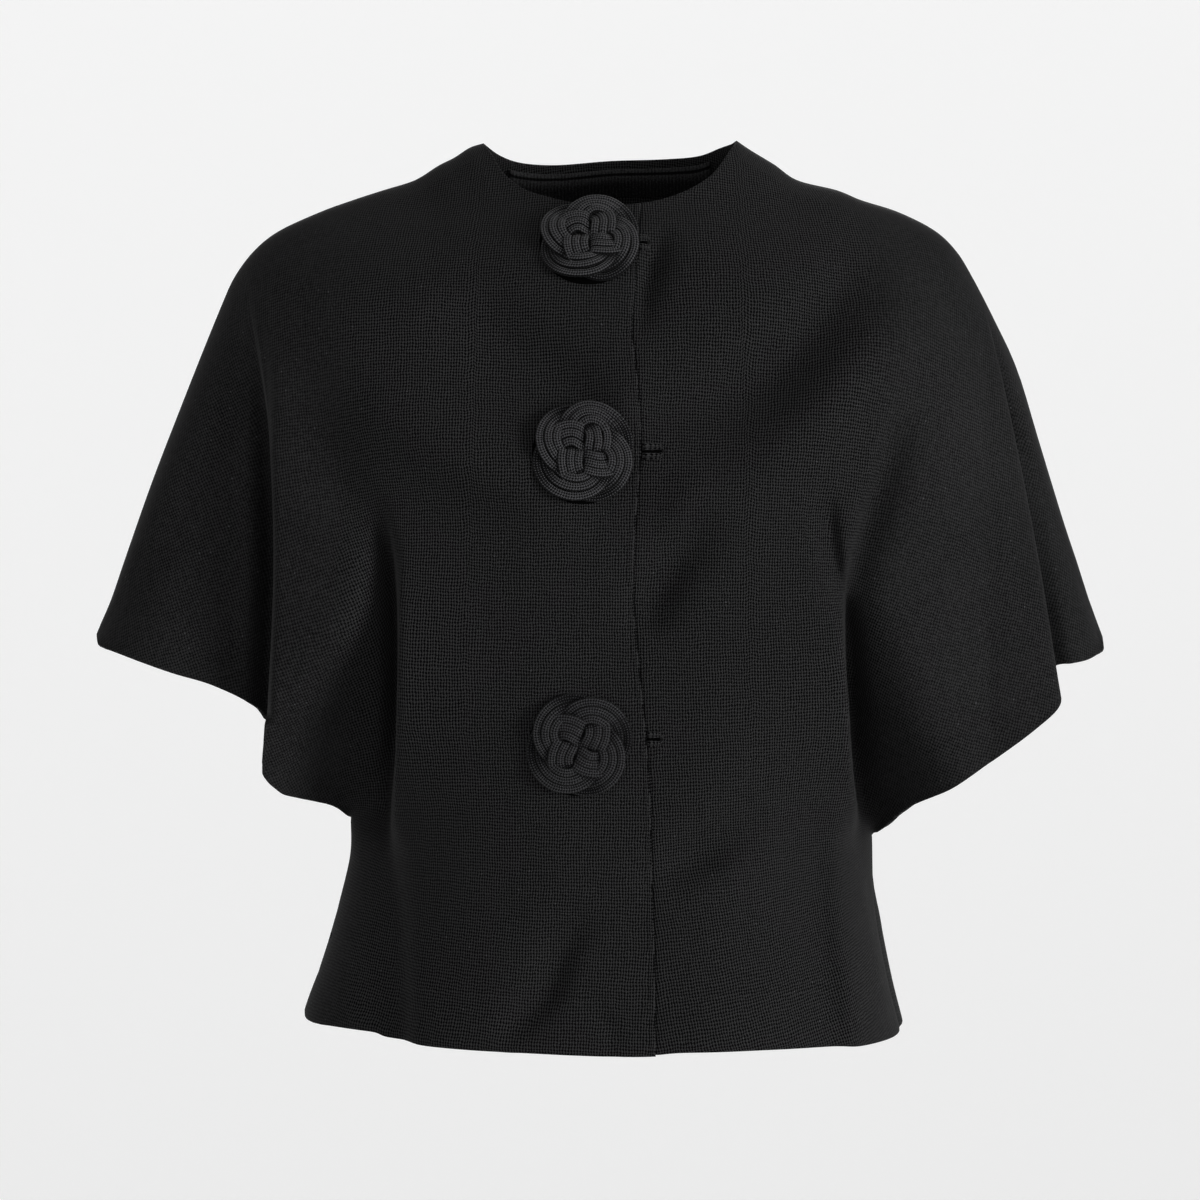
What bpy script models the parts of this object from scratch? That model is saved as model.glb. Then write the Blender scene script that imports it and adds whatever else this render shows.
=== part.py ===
"""Knitted shrug: a cropped, cape-sleeved jacket in thick black double knit, worn and filled out.

Frame: metres, +Z up, +X to the wearer's left, -Y to the front. The origin is on the centre
plane at the level where the garment rests on the shoulders, in the plane of the shoulder seams.

The garment is cut as two fronts and one back. The front and back meet along an overarm seam,
which runs from the neck over the shoulder to the corner of the cuff, and along a short side
seam. Below the arm the sleeve is open, so its cuff runs from the underarm to that corner.
The tables and sizes below are in millimetres and MM turns them into metres.
"""

from collections import namedtuple
import math

import bmesh
import bpy
import numpy as np

MM = 0.001

# Cloth and making-up
WALL = 2.2                # double-knit cloth
TURNED_WALL = 3.2         # cloth and its turning, at the hem and the cuffs
HEM_DEPTH = 32.0          # from the waist edge to where the turning has run out
CUFF_DEPTH = 24.0         # the same at the cuffs
TURN_RUN_OUT = 6.0        # length over which the turning's thickness runs out
SEAM_GAP = 0.3            # between two pieces that meet
UNDERLAP = 44.0           # how far the left front runs on under the right one
LAP_LIFT = 2.1            # the right front rises, and the left one sinks, where they lap
LAP_FADE = 40.0           # and come back to the common surface over this length
LAP_PAST = 4.0            # the left one is still fully sunk this far past the edge
TUCK_RUN = 8.0            # the underlap's ends draw in over this length behind the edge
TUCK_NECK = 2.5           # how far they draw in at the neck
TUCK_HEM = 3.0            # and at the waist

# Overarm seam of each side, from the neck to the cuff: distance out, height
SeamRow = namedtuple("SeamRow", "out z")
OVERARM_RIGHT = [SeamRow(*row) for row in (
    (70, 22), (78, 19.5), (86.5, 14), (95.5, 9.5), (108.5, 1.5), (126, -4), (143, -9.5),
    (161, -16), (184, -26.5), (198, -37.5), (209, -52), (216, -67), (225.5, -90),
    (237.5, -120), (255, -165), (270.5, -209), (278, -231), (284.5, -246), (286, -250))]
OVERARM_LEFT = [SeamRow(*row) for row in (
    (70, 23.5), (79, 17.5), (91.5, 10), (104, 1.5), (126, -4), (139.5, -9.5), (160, -16),
    (180, -26), (192, -37), (201, -51), (214, -76), (227, -104), (239, -143), (252.5, -187),
    (260, -209.5), (267, -231.5), (272, -245), (274, -251))]

# Side seam of each side, from the underarm to the hem
SIDE_RIGHT = [SeamRow(*row) for row in (
    (145, -353), (145, -371), (148.5, -389), (159, -428), (170.5, -459), (171, -464))]
SIDE_LEFT = [SeamRow(*row) for row in (
    (146.5, -362), (148, -403), (155, -442), (162.5, -472))]

# Where the sleeve begins on the overarm seam, and where the cuff runs. Each row is one
# section of the sleeve, from the overarm seam down to the cuff: its share of the seam, the
# cuff's distance out and height, its bow on the way, and how far the front and the back wall
# are taken in there. The walls step in behind a fold, which gives the sleeve its outer flute.
SHOULDER_OUT = 150.0
Section = namedtuple("Section", "share out z bow front_in back_in")
SLEEVE_RIGHT = [Section(*row) for row in (
    (0.04, 151.5, -345.5, 0, 0, 0),
    (0.08, 162.0, -341.0, 0, 0, 0),
    (0.12, 171.0, -338.0, -2, 0, 0),
    (0.155, 179.5, -334.5, -5, 0, 0),
    (0.18, 187.5, -327.0, -10, 0, 0),
    (0.20, 190.0, -317.0, -12.5, 1, 1),
    (0.212, 188.0, -308.0, -12, 14, 8),
    (0.224, 188.0, -298.0, -10, 25, 14),
    (0.30, 197.0, -286.5, -4, 25, 12),
    (0.45, 218.0, -275.0, 0, 20, 9),
    (0.65, 240.0, -268.0, 0, 14, 7),
    (0.85, 265.0, -260.0, 0, 10, 6),
    (1.00, 283.5, -254.5, 0, 8, 6))]
SLEEVE_LEFT = [Section(*row) for row in (
    (0.05, 157.0, -348.0, 0, 0, 0),
    (0.09, 169.0, -338.5, 0, 0, 0),
    (0.13, 183.0, -331.0, 0, 0, 0),
    (0.17, 198.0, -321.0, 0, 0, 0),
    (0.20, 213.0, -310.5, 0, 0, 0),
    (0.23, 231.0, -297.0, 2, 0, 0),
    (0.25, 244.5, -285.0, 3, 1, 1),
    (0.262, 244.5, -277.0, 2, 14, 8),
    (0.274, 241.5, -269.0, 2, 24, 14),
    (0.32, 245.0, -265.0, 1, 23, 12),
    (0.50, 253.0, -263.5, 0, 14, 9),
    (0.75, 264.0, -261.0, 0, 9, 7),
    (1.00, 273.0, -256.5, 0, 7, 7))]
FOLD_START = 0.04         # share of a section's length where the fold begins
FOLD_FULL = 0.42          # and where it has its full depth

# Free edges seen from the front: sideways place, height
EdgeRow = namedtuple("EdgeRow", "x z")
FRONT_NECK = [EdgeRow(*row) for row in (
    (-70, 22), (-64.5, 14), (-59, 5), (-48, -4), (-34, -9), (-18, -12.5), (0, -13.5),
    (17, -12.5), (32, -9), (46, -3), (57, 5), (64, 14.5), (70, 23))]
BACK_NECK = [EdgeRow(*row) for row in (
    (-70, 22), (-62, 16.5), (-50, 12.8), (-30, 12), (0, 14.5), (30, 15.2), (50, 16.5),
    (62, 20.5), (70, 23))]
FRONT_EDGE = [EdgeRow(*row) for row in (
    (16.5, -12.5), (14.5, -40), (13, -62), (11.5, -82), (14, -104), (16, -128), (16, -148),
    (14, -174), (12.5, -195), (12.2, -212), (12.8, -232), (14.2, -250), (16.3, -271),
    (19, -299), (21.2, -331), (22.5, -385), (23.4, -411), (24.1, -467))]
HEM = [EdgeRow(*row) for row in (
    (-171, -464), (-153, -461), (-130, -461.5), (-115, -464.5), (-48, -466), (0, -467.5),
    (23, -467.5), (40, -466.3), (80, -466.3), (130, -469), (162.5, -472))]

# Depth of the filled-out garment in front of and behind the plane of the seams, on the centre
DepthRow = namedtuple("DepthRow", "z front back")
DEPTH = [DepthRow(*row) for row in (
    (-475, 112, 109), (-420, 107, 105), (-350, 105, 103), (-250, 109, 105), (-200, 112, 108),
    (-150, 111, 108), (-110, 104, 102), (-80, 95, 96), (-55, 84, 88), (-30, 67, 76),
    (-12, 52, 64), (10, 44, 55), (30, 40, 50))]
SIDE_SHARE = 0.62         # share of that depth in the sleeves
SHARE_OUT = 205.0         # distance out where it has fallen to that
SHARE_POWER = 2.4         # how flat the chest is before it falls
SHOULDER_ROUND = 75.0     # rounding in from the overarm seam
BODY_ROUND = 115.0        # rounding in from the side seam, on the body
ARM_ROUND = 60.0          # and on the sleeve
ROUND_BLEND = 30.0        # how gradually the one changes to the other
SEAM_FORWARD = 12.0       # the side seams lie this far in front of the shoulder seams
FORWARD_FROM = -100.0     # height where the plane of the seams starts to come forward
FORWARD_OVER = 240.0      # and over what drop it does
BACK_SWELL_LEFT = 15.0    # the back's swell past the left side seam
BACK_SWELL_RIGHT = 4.0
SWELL_FROM = 3.0          # below the underarm
SWELL_OVER = 50.0

# Soft troughs, and ridges where the depth is negative. Each is a line from the top down, with
# its half width on the left and on the right of the line as seen from the front, and its depth.
FoldRow = namedtuple("FoldRow", "x z left right depth")
FRONT_FOLDS = [[FoldRow(*row) for row in fold] for fold in (
    # hollow behind the right arm, steep beside the body
    ((-130, -165, 14, 9, 0), (-121, -190, 14, 8, 9), (-117.5, -215, 16, 7, 20),
     (-116.5, -242, 22, 7, 27), (-116.5, -272, 36, 7, 38), (-117.5, -305, 58, 7, 48),
     (-122, -345, 66, 7, 53), (-122, -368, 26, 9, 18), (-117, -395, 14, 9, 8),
     (-114, -464, 14, 9, 7)),
    # crease along the fold of the right sleeve
    ((-191, -80, 10, 8, 0), (-187, -130, 10, 7, 9), (-185, -200, 10, 7, 14),
     (-188, -290, 10, 7, 12)),
    # hollow behind the left arm
    ((156, -120, 9, 14, 0), (140, -178, 9, 14, 11), (128, -232, 8, 16, 17),
     (128, -255, 8, 22, 25), (130, -280, 8, 28, 35), (133, -315, 8, 34, 45),
     (138, -345, 8, 34, 48), (140, -366, 10, 14, 8), (140, -390, 10, 12, 0)),
    # slack from the left shoulder to the middle, and the bust below it
    ((150, -30, 20, 20, 0), (98, -97, 20, 20, 15), (26, -126, 18, 18, 3), (12, -130, 16, 16, 0)),
    ((182, -64, 22, 22, 0), (118, -116, 22, 22, -11), (44, -184, 20, 20, 0)),
    # the same on the right
    ((-95, -62, 26, 24, 0), (-55, -92, 24, 22, 9), (2, -128, 18, 18, 0)),
    ((-158, -104, 22, 22, 0), (-98, -139, 20, 22, -12), (-48, -161, 20, 22, -11),
     (-6, -176, 18, 18, 0)),
    # slack below the bust, and creases near the waist
    ((60, -180, 13, 12, 0), (30, -215, 13, 12, 7), (17, -245, 11, 11, 0)),
    ((84, -340, 14, 12, 0), (50, -361, 15, 12, 8), (12, -380, 12, 12, 0)),
    ((-12, -385, 18, 12, 0), (-28, -425, 14, 10, 6), (-62, -460, 12, 10, 0)),
    # corner where the side of the body turns
    ((118, -325, 12, 12, 0), (124, -372, 12, 15, -9), (131, -440, 12, 17, -11),
     (135, -468, 12, 17, -9)))]
BACK_FOLDS = [[FoldRow(*row) for row in fold] for fold in (
    # hollows behind the arms
    ((-134, -110, 18, 16, 0), (-124, -165, 20, 12, 7), (-118, -245, 26, 10, 18),
     (-124, -350, 34, 10, 17), (-124, -400, 16, 12, 0)),
    ((142, -100, 16, 18, 0), (130, -160, 12, 20, 6), (122, -240, 10, 26, 17),
     (130, -350, 10, 34, 17), (130, -400, 12, 16, 0)),
    # slack down the back and under the neck
    ((-64, -180, 20, 18, 0), (-50, -290, 20, 16, 5), (-45, -365, 20, 16, 8),
     (-54, -462, 20, 18, 4)),
    ((66, -210, 18, 18, 0), (50, -330, 16, 18, 8), (58, -462, 18, 20, 4)),
    ((-8, -290, 18, 18, 0), (3, -380, 15, 16, 7), (-4, -462, 14, 14, 3)),
    ((-96, -52, 28, 28, 0), (-46, -86, 24, 24, 6), (8, -104, 22, 22, 0)),
    ((104, -60, 26, 26, 0), (62, -96, 22, 22, 5), (24, -118, 20, 20, 0)))]
FOLD_STEPS = 5            # points along a fold between two of its rows

# Knotted buttons: each is a flat knot of a bundle of three knitted cords
BUTTON_PLACES = [EdgeRow(-11, -35), EdgeRow(-15, -148), EdgeRow(-16.5, -301)]
BUTTON_TURNS = [49.0, 43.0, 30.0]       # degrees
KNOT_RADIUS = 14.8        # middle radius of the knot's path
KNOT_SWING = 7.6          # its swing in and out
BUNDLE_HALF = 6.6         # half the width of the bundle
KNOT_BASE = 4.5           # height of the bundle's middle level over the seat
KNOT_WAVE = 1.75          # rise and fall where bundles cross
BUNDLE_CROWN = 1.6        # roundness of the bundle
KNOT_HOLLOW = 3.0         # height between the bundles
KNOT_RIM = 3.0            # height of the outer rim
KNOT_FOOT_IN = 1.2        # the foot is this much inside the rim
KNOT_SEGMENTS = 40
KNOT_RINGS = (0.12, 0.24, 0.36, 0.47, 0.58, 0.68, 0.78, 0.87, 0.95, 1.0)
SEAT_SAMPLES = 15         # places tried across a button to find where it touches

# Bound buttonholes, whose ends show past the lapping edge
HOLE_LEVELS = [-35.0, -146.0, -298.5]
HOLE_REACH = [7.0, 13.5, 10.0]          # how far each shows past the edge
LIP_HEIGHT = 2.2
LIP_THICK = 1.4
LIP_GAP = 0.5             # behind the lips, because the front turns between its points
SLIT = 0.8
HOLE_START = 0.6          # clear of the lapping edge
HOLE_TAPER = 0.85         # height of the far end as a share of the near one
BAR = 2.0                 # bar that closes the slit

# Band inside the back neck
BAND_DROP = 4.0           # below the neck edge
BAND_WIDTH = 15.0
BAND_THICK = 1.8
BAND_REACH = 58.0         # to either side of the centre
BAND_GAP = 0.8            # behind the band, because the back turns between its points

# Grid: rows from the top to the underarm, rows below it, columns to the neck point and on
# to the sleeve
ROWS_ABOVE = 19
ROWS_BELOW = 7
NECK_COLUMNS = 6
SHOULDER_COLUMNS = 7
TOP_CROWD = 1.2           # rows crowd towards the overarm seam
END_CROWD = 0.5           # and towards both ends
COLUMN_CROWD = 1.6        # columns crowd towards the side seam
BAND_RINGS = 17
SHARP_ANGLE = 50.0        # degrees, between faces that meet in a hard edge

CLOTH_COLOUR = (0.012, 0.012, 0.013)
CORD_COLOUR = (0.018, 0.018, 0.020)


# ---- Curves and rounding ----

def clear_scene():
    """Remove what the file holds."""
    for item in list(bpy.data.objects):
        bpy.data.objects.remove(item, do_unlink=True)


def ease(value):
    """Smooth step from 0 to 1."""
    share = np.clip(value, 0.0, 1.0)
    return share * share * (3.0 - 2.0 * share)


def rounded(value):
    """Quarter circle that rises from 0 to 1."""
    share = np.clip(value, 0.0, 1.0)
    return np.sqrt(1.0 - (1.0 - share) ** 2)


def smooth_line(rows, steps=12):
    """Close points along a smooth curve through the rows."""
    points = np.array(rows, dtype=float)
    first = 2.0 * points[0] - points[1]
    last = 2.0 * points[-1] - points[-2]
    knots = np.vstack([first, points, last])
    line = []
    for before, start, end, after in zip(knots, knots[1:], knots[2:], knots[3:]):
        for step in range(steps):
            t = step / steps
            pull = (end - before) * t + (2 * before - 5 * start + 4 * end - after) * t ** 2
            pull += (3 * start - before - 3 * end + after) * t ** 3
            line.append(start + 0.5 * pull)
    line.append(points[-1])
    return np.array(line)


def along(line, shares):
    """Points at the given shares of a line's length."""
    lengths = np.concatenate([[0.0], np.cumsum(np.linalg.norm(np.diff(line, axis=0), axis=1))])
    wanted = np.asarray(shares) * lengths[-1]
    return np.stack([np.interp(wanted, lengths, line[:, k]) for k in range(line.shape[1])], -1)


def share_at(line, out):
    """Share of a line's length at which it first reaches the given distance out."""
    lengths = np.concatenate([[0.0], np.cumsum(np.linalg.norm(np.diff(line, axis=0), axis=1))])
    return np.interp(out, line[:, 0], lengths) / lengths[-1]


def distance(x, z, line):
    """Distance in the front view from points to a line, and the share of it nearest."""
    points = np.stack([np.asarray(x, float), np.asarray(z, float)], -1)
    best = np.full(points.shape[:-1], np.inf)
    nearest = np.zeros(points.shape[:-1])
    count = len(line) - 1
    for index, (start, end) in enumerate(zip(line, line[1:])):
        run = end - start
        share = np.clip(((points - start) @ run) / max(run @ run, 1e-9), 0.0, 1.0)
        gap = np.linalg.norm(points - start - share[..., None] * run, axis=-1)
        nearer = gap < best
        best = np.where(nearer, gap, best)
        nearest = np.where(nearer, (index + share) / count, nearest)
    return best, nearest


# ---- The filled-out form, as a depth over the front view ----

def signed_line(rows, sign):
    """Line of a seam on one side, in front-view coordinates."""
    line = smooth_line(rows)
    return line * np.array([sign, 1.0])


OVERARMS = {-1: signed_line(OVERARM_RIGHT, -1), 1: signed_line(OVERARM_LEFT, 1)}
SIDE_SEAMS = {-1: signed_line(SIDE_RIGHT, -1), 1: signed_line(SIDE_LEFT, 1)}
DEPTH_LINE = smooth_line(DEPTH)
NECK_LINES = {-1: smooth_line(FRONT_NECK), 1: smooth_line(BACK_NECK)}
EDGE_LINE = smooth_line(FRONT_EDGE)[::-1]
HEM_LINE = smooth_line(HEM)


def fold_line(rows):
    """Close points along a fold with its half widths and depth, and the way it runs there."""
    line = smooth_line(rows, FOLD_STEPS)
    return np.column_stack([line, np.gradient(line[:, :2], axis=0)])


FOLDS = {-1: [fold_line(rows) for rows in FRONT_FOLDS], 1: [fold_line(rows) for rows in BACK_FOLDS]}


def seam_plane(z):
    """Depth at which the front and the back meet."""
    return -SEAM_FORWARD * ease((FORWARD_FROM - np.asarray(z)) / FORWARD_OVER)


def edge_place(z):
    """Sideways place of the lapping front edge at a height."""
    return np.interp(z, EDGE_LINE[:, 1], EDGE_LINE[:, 0])


def fullness(x, z):
    """Share of the full depth, from none at the seams to one inside."""
    x = np.asarray(x, dtype=float)
    side = np.where(x < 0.0, -1, 1)
    share = np.zeros(np.broadcast(x, z).shape)
    for sign in (-1, 1):
        top_gap, _ = distance(x, z, OVERARMS[sign])
        side_gap, _ = distance(x, z, SIDE_SEAMS[sign])
        inward = abs(SIDE_SEAMS[sign][0, 0]) - np.abs(x)
        body = 0.5 + 0.5 * np.tanh(inward / ROUND_BLEND)
        radius = ARM_ROUND + (BODY_ROUND - ARM_ROUND) * body
        here = rounded(top_gap / SHOULDER_ROUND) * rounded(side_gap / radius)
        share = np.where(side == sign, here, share)
    return share


def fold_depth(x, z, face):
    """How far the soft folds take the cloth in."""
    depth = np.zeros(np.broadcast(x, z).shape)
    for fold in FOLDS[face]:
        gap, share = distance(x, z, fold[:, :2])
        count = np.arange(len(fold))
        here = [np.interp(share * count[-1], count, values) for values in fold.T]
        near_x, near_z, left, right, deep, run_x, run_z = here
        to_right = run_x * (z - near_z) - run_z * (x - near_x) > 0.0
        depth += deep * np.exp(-(gap / np.where(to_right, right, left)) ** 2)
    return depth


def surface(x, z, face, taken_in=0.0):
    """Depth place of the outer surface; face is -1 for the front and 1 for the back."""
    column = 1 if face < 0 else 2
    depth = np.interp(z, DEPTH_LINE[:, 0], DEPTH_LINE[:, column])
    fall = np.clip(np.abs(x) / SHARE_OUT, 0.0, 1.0) ** SHARE_POWER
    depth = depth * (1.0 - (1.0 - SIDE_SHARE) * fall)
    depth = depth - taken_in - fold_depth(x, z, face)
    return seam_plane(z) + face * (SEAM_GAP / 2 + depth * fullness(x, z))


def on_surface(x, z, face, lift, shift=0.0):
    """Point over the outer surface, and the outward normal there.

    shift moves the surface itself in depth first, as it does where the fronts lap.
    """
    step = 1.0
    y = surface(x, z, face)
    slope_x = (surface(x + step, z, face) - surface(x - step, z, face)) / (2 * step)
    slope_z = (surface(x, z + step, face) - surface(x, z - step, face)) / (2 * step)
    normal = np.stack([-slope_x, np.ones_like(slope_x), -slope_z], -1) * face
    normal /= np.linalg.norm(normal, axis=-1, keepdims=True)
    point = np.stack(np.broadcast_arrays(x, y + face * shift, z), -1)
    return point + normal * lift, normal


# ---- Panels ----

def row_shares():
    """Rows of a column from the top (0) past the underarm (1) to the hem (2)."""
    even = np.linspace(0.0, 1.0, ROWS_ABOVE + 1) ** TOP_CROWD
    above = even - END_CROWD * np.sin(2.0 * np.pi * even) / (2.0 * np.pi)
    above[-1] = 1.0
    below = 1.0 + np.arange(1, ROWS_BELOW + 1) / ROWS_BELOW
    return np.concatenate([above, below])


def column_crowd(shares):
    """Columns crowd towards the side seam, where the body turns."""
    return 1.0 - (1.0 - np.asarray(shares)) ** COLUMN_CROWD


def top_stations(sign):
    """Points on the overarm seam for the shoulder's and the sleeve's columns."""
    line = OVERARMS[sign]
    split = share_at(line * np.array([sign, 1.0]), SHOULDER_OUT)
    sections = SLEEVE_RIGHT if sign < 0 else SLEEVE_LEFT
    shoulder = np.linspace(0.0, split, SHOULDER_COLUMNS + 1)
    sleeve = [split + (1.0 - split) * section.share for section in sections]
    return along(line, shoulder), along(line, sleeve), sections


def neck_stations(sign, face, start):
    """Points on the neck edge from the given place to the neck point of one side."""
    line = NECK_LINES[face]
    if sign < 0:
        line = line[::-1]
    begin = np.interp(start * sign, line[:, 0] * sign, np.arange(len(line)))
    first = np.array([start, np.interp(start * sign, line[:, 0] * sign, line[:, 1])])
    rest = line[int(math.floor(begin)) + 1:]
    return along(np.vstack([first, rest]), np.linspace(0.0, 1.0, NECK_COLUMNS + 1))


def half_panel(sign, face, start_at):
    """Columns of one half of the garment, from its inner edge to the corner of the cuff.

    start_at gives the inner edge's sideways place at a height. A column's rows are front-view
    places and how far the wall is taken in there. Body columns run to the hem, and sleeve
    columns stop at the cuff.
    """
    shares = row_shares()
    above = shares[shares <= 1.0]
    below = shares[shares > 1.0]
    neck_z = NECK_LINES[face][len(NECK_LINES[face]) // 2, 1]
    neck = neck_stations(sign, face, float(start_at(neck_z)))
    shoulder, sleeve, sections = top_stations(sign)
    tops = np.vstack([neck[:-1], shoulder])
    side = along(SIDE_SEAMS[sign], below - 1.0)
    underarm = SIDE_SEAMS[sign][0]
    columns = []
    for top, share in zip(tops, column_crowd(np.linspace(0.0, 1.0, len(tops)))):
        z = top[1] + (underarm[1] - top[1]) * above
        inner = start_at(underarm[1])
        low_x = inner + (underarm[0] - inner) * share
        bend = start_at(z) - tops[0, 0] - (inner - tops[0, 0]) * above
        bend = bend - bend[0] * (1.0 - above)
        x = top[0] + (low_x - top[0]) * above + bend * (1.0 - share) ** 2
        lower_x = start_at(side[:, 1]) + (side[:, 0] - start_at(side[:, 1])) * share
        hem_z = np.interp(lower_x, HEM_LINE[:, 0], HEM_LINE[:, 1])
        level = underarm[1] + (hem_z - underarm[1]) * (below - 1.0)
        lower_z = side[:, 1] if share >= 1.0 else level
        places = np.stack([np.append(x, lower_x), np.append(z, lower_z)], -1)
        columns.append(np.column_stack([places, np.zeros(len(places))]))
    for top, section in zip(sleeve, sections):
        taken = section.front_in if face < 0 else section.back_in
        fade = ease((above - FOLD_START) / (FOLD_FULL - FOLD_START))
        bow = sign * section.bow * np.sin(np.pi * above)
        x = top[0] + (sign * section.out - top[0]) * above + bow
        z = top[1] + (section.z - top[1]) * above
        columns.append(np.stack([x, z, taken * fade], -1))
    return columns


def lap_shift(x, z, panel):
    """How far a front stands proud of the common surface, or sinks below it, at the lap."""
    past = x - edge_place(z)
    if panel == "right":
        return LAP_LIFT * ease((past + UNDERLAP + LAP_FADE) / LAP_FADE)
    return -LAP_LIFT * ease((LAP_FADE + LAP_PAST - past) / LAP_FADE)


def swell(x, z, face):
    """Sideways swell of the back beyond the side seams."""
    if face < 0:
        return np.zeros_like(x)
    total = np.zeros_like(x)
    for sign, amount in ((-1, BACK_SWELL_RIGHT), (1, BACK_SWELL_LEFT)):
        gap, _ = distance(x, z, SIDE_SEAMS[sign])
        angle = np.arccos(1.0 - np.clip(gap / BODY_ROUND, 0.0, 1.0))
        below = ease((SIDE_SEAMS[sign][0, 1] - SWELL_FROM - z) / SWELL_OVER)
        here = sign * amount * np.sin(2.0 * angle) * below
        total += np.where(np.sign(x) == sign, here, 0.0)
    return total


def shape_columns(columns, face, panel):
    """Turn front-view columns into points of the outer surface."""
    x, z, taken = np.vstack(columns).T
    y = surface(x, z, face, taken)
    if panel != "back":
        y = y + face * lap_shift(x, z, panel)
    points = np.stack([x + swell(x, z, face), y, z], -1)
    ends = np.cumsum([len(column) for column in columns])[:-1]
    return np.split(points, ends)


def wall_thickness(points):
    """Cloth is thicker where it is turned up at the hem and the cuffs."""
    x, z = points[:, 0], points[:, 2]
    to_hem = z - np.interp(x, HEM_LINE[:, 0], HEM_LINE[:, 1])
    turned = ease((HEM_DEPTH - to_hem) / TURN_RUN_OUT)
    for sign in (-1, 1):
        to_cuff, _ = distance(x, z, CUFF_LINES[sign])
        at_cuff = ease((CUFF_DEPTH - to_cuff) / TURN_RUN_OUT)
        outside = x * sign > abs(SIDE_SEAMS[sign][0, 0]) - 1.0
        turned = np.where(outside, np.maximum(turned, at_cuff), turned)
    return WALL + (TURNED_WALL - WALL) * turned


def cuff_line(sign):
    """Front view of the cuff, from the underarm to its corner."""
    sections = SLEEVE_RIGHT if sign < 0 else SLEEVE_LEFT
    rows = [SIDE_SEAMS[sign][0]] + [np.array([sign * row.out, row.z]) for row in sections]
    return np.array(rows)


CUFF_LINES = {-1: cuff_line(-1), 1: cuff_line(1)}


def panel_mesh(name, columns, face, seam_points):
    """Close a panel's columns of outer points into a wall of cloth."""
    index = {}
    for c, column in enumerate(columns):
        for r in range(len(column)):
            index[c, r] = len(index)
    points = np.vstack(columns)
    quads = []
    for c in range(len(columns) - 1):
        rows = min(len(columns[c]), len(columns[c + 1])) - 1
        for r in range(rows):
            corners = (index[c, r], index[c + 1, r], index[c + 1, r + 1], index[c, r + 1])
            quads.append(corners)
    normals = np.zeros_like(points)
    for a, b, c, d in quads:
        normal = np.cross(points[c] - points[a], points[d] - points[b])
        for corner in (a, b, c, d):
            normals[corner] += normal
    if np.sum(normals[:, 1]) * face < 0:
        normals = -normals
        quads = [quad[::-1] for quad in quads]
    for key in seam_points:
        normals[index[key], 1] = 0.0
    normals /= np.linalg.norm(normals, axis=1, keepdims=True)
    inner = points - normals * wall_thickness(points)[:, None]
    return close_wall(name, points, inner, quads)


def close_wall(name, outer, inner, quads):
    """Join an outer and an inner sheet of the same faces round their edges."""
    count = len(outer)
    faces = list(quads)
    faces += [tuple(corner + count for corner in quad[::-1]) for quad in quads]
    used = set()
    for quad in quads:
        for start, end in zip(quad, quad[1:] + quad[:1]):
            used.add((start, end))
    for start, end in sorted(used):
        if (end, start) not in used:
            faces.append((end, start, start + count, end + count))
    return make_object(name, np.vstack([outer, inner]), faces)


def make_object(name, points, faces):
    """Mesh object with smooth shading, from points in millimetres."""
    mesh = bpy.data.meshes.new(name)
    mesh.from_pydata([tuple(point * MM) for point in points], [], faces)
    mesh.validate()
    mesh.shade_smooth()
    mesh.set_sharp_from_angle(angle=math.radians(SHARP_ANGLE))
    item = bpy.data.objects.new(name, mesh)
    bpy.context.scene.collection.objects.link(item)
    return item


def seam_keys(columns, first_seam_column, side_column):
    """Grid places on the overarm seam and the side seam of one half."""
    keys = [(c, 0) for c in range(first_seam_column, len(columns))]
    keys += [(side_column, r) for r in range(ROWS_ABOVE, len(columns[side_column]))]
    return keys


def make_front(name, sign, panel):
    """One front, with its half of the neck edge, its sleeve and its cuff."""
    if panel == "right":
        columns = half_panel(sign, -1, edge_place)
    else:
        columns = half_panel(sign, -1, lambda z: edge_place(z) - UNDERLAP)
        columns = tuck_under(columns)
    keys = seam_keys(columns, NECK_COLUMNS, NECK_COLUMNS + SHOULDER_COLUMNS)
    return panel_mesh(name, shape_columns(columns, -1, panel), -1, keys)


def tuck_under(columns):
    """Keep the underlap's own edges a little inside the edges that hide it."""
    for column in columns:
        hidden = ease((edge_place(column[:, 1]) - column[:, 0]) / TUCK_RUN)
        rows = row_shares()[:len(column)]
        near_neck = ease(1.0 - rows * 6.0)
        near_hem = ease(rows * 2.0 - 3.0)
        column[:, 1] += hidden * (TUCK_HEM * near_hem - TUCK_NECK * near_neck)
    return columns


def make_back(name):
    """The whole back, from one cuff to the other."""
    right = half_panel(-1, 1, lambda z: 0.0)
    left = half_panel(1, 1, lambda z: 0.0)
    keys = []
    last = len(right) - 1
    for c, r in seam_keys(right, NECK_COLUMNS, NECK_COLUMNS + SHOULDER_COLUMNS):
        keys.append((last - c, r))
        keys.append((last + c, r))
    columns = right[::-1] + left[1:]
    return panel_mesh(name, shape_columns(columns, 1, "back"), 1, keys)


# ---- Band, buttonholes and buttons ----

def make_strip(name, rings):
    """Closed bar through rings of points, capped at both ends."""
    count = len(rings[0])
    points = np.vstack(rings)
    faces = []
    for k in range(len(rings) - 1):
        for j in range(count):
            a = k * count + j
            b = k * count + (j + 1) % count
            faces.append((a, b, b + count, a + count))
    faces.append(tuple(range(count))[::-1])
    faces.append(tuple(range(len(points) - count, len(points))))
    return outward(make_object(name, points, faces))


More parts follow.
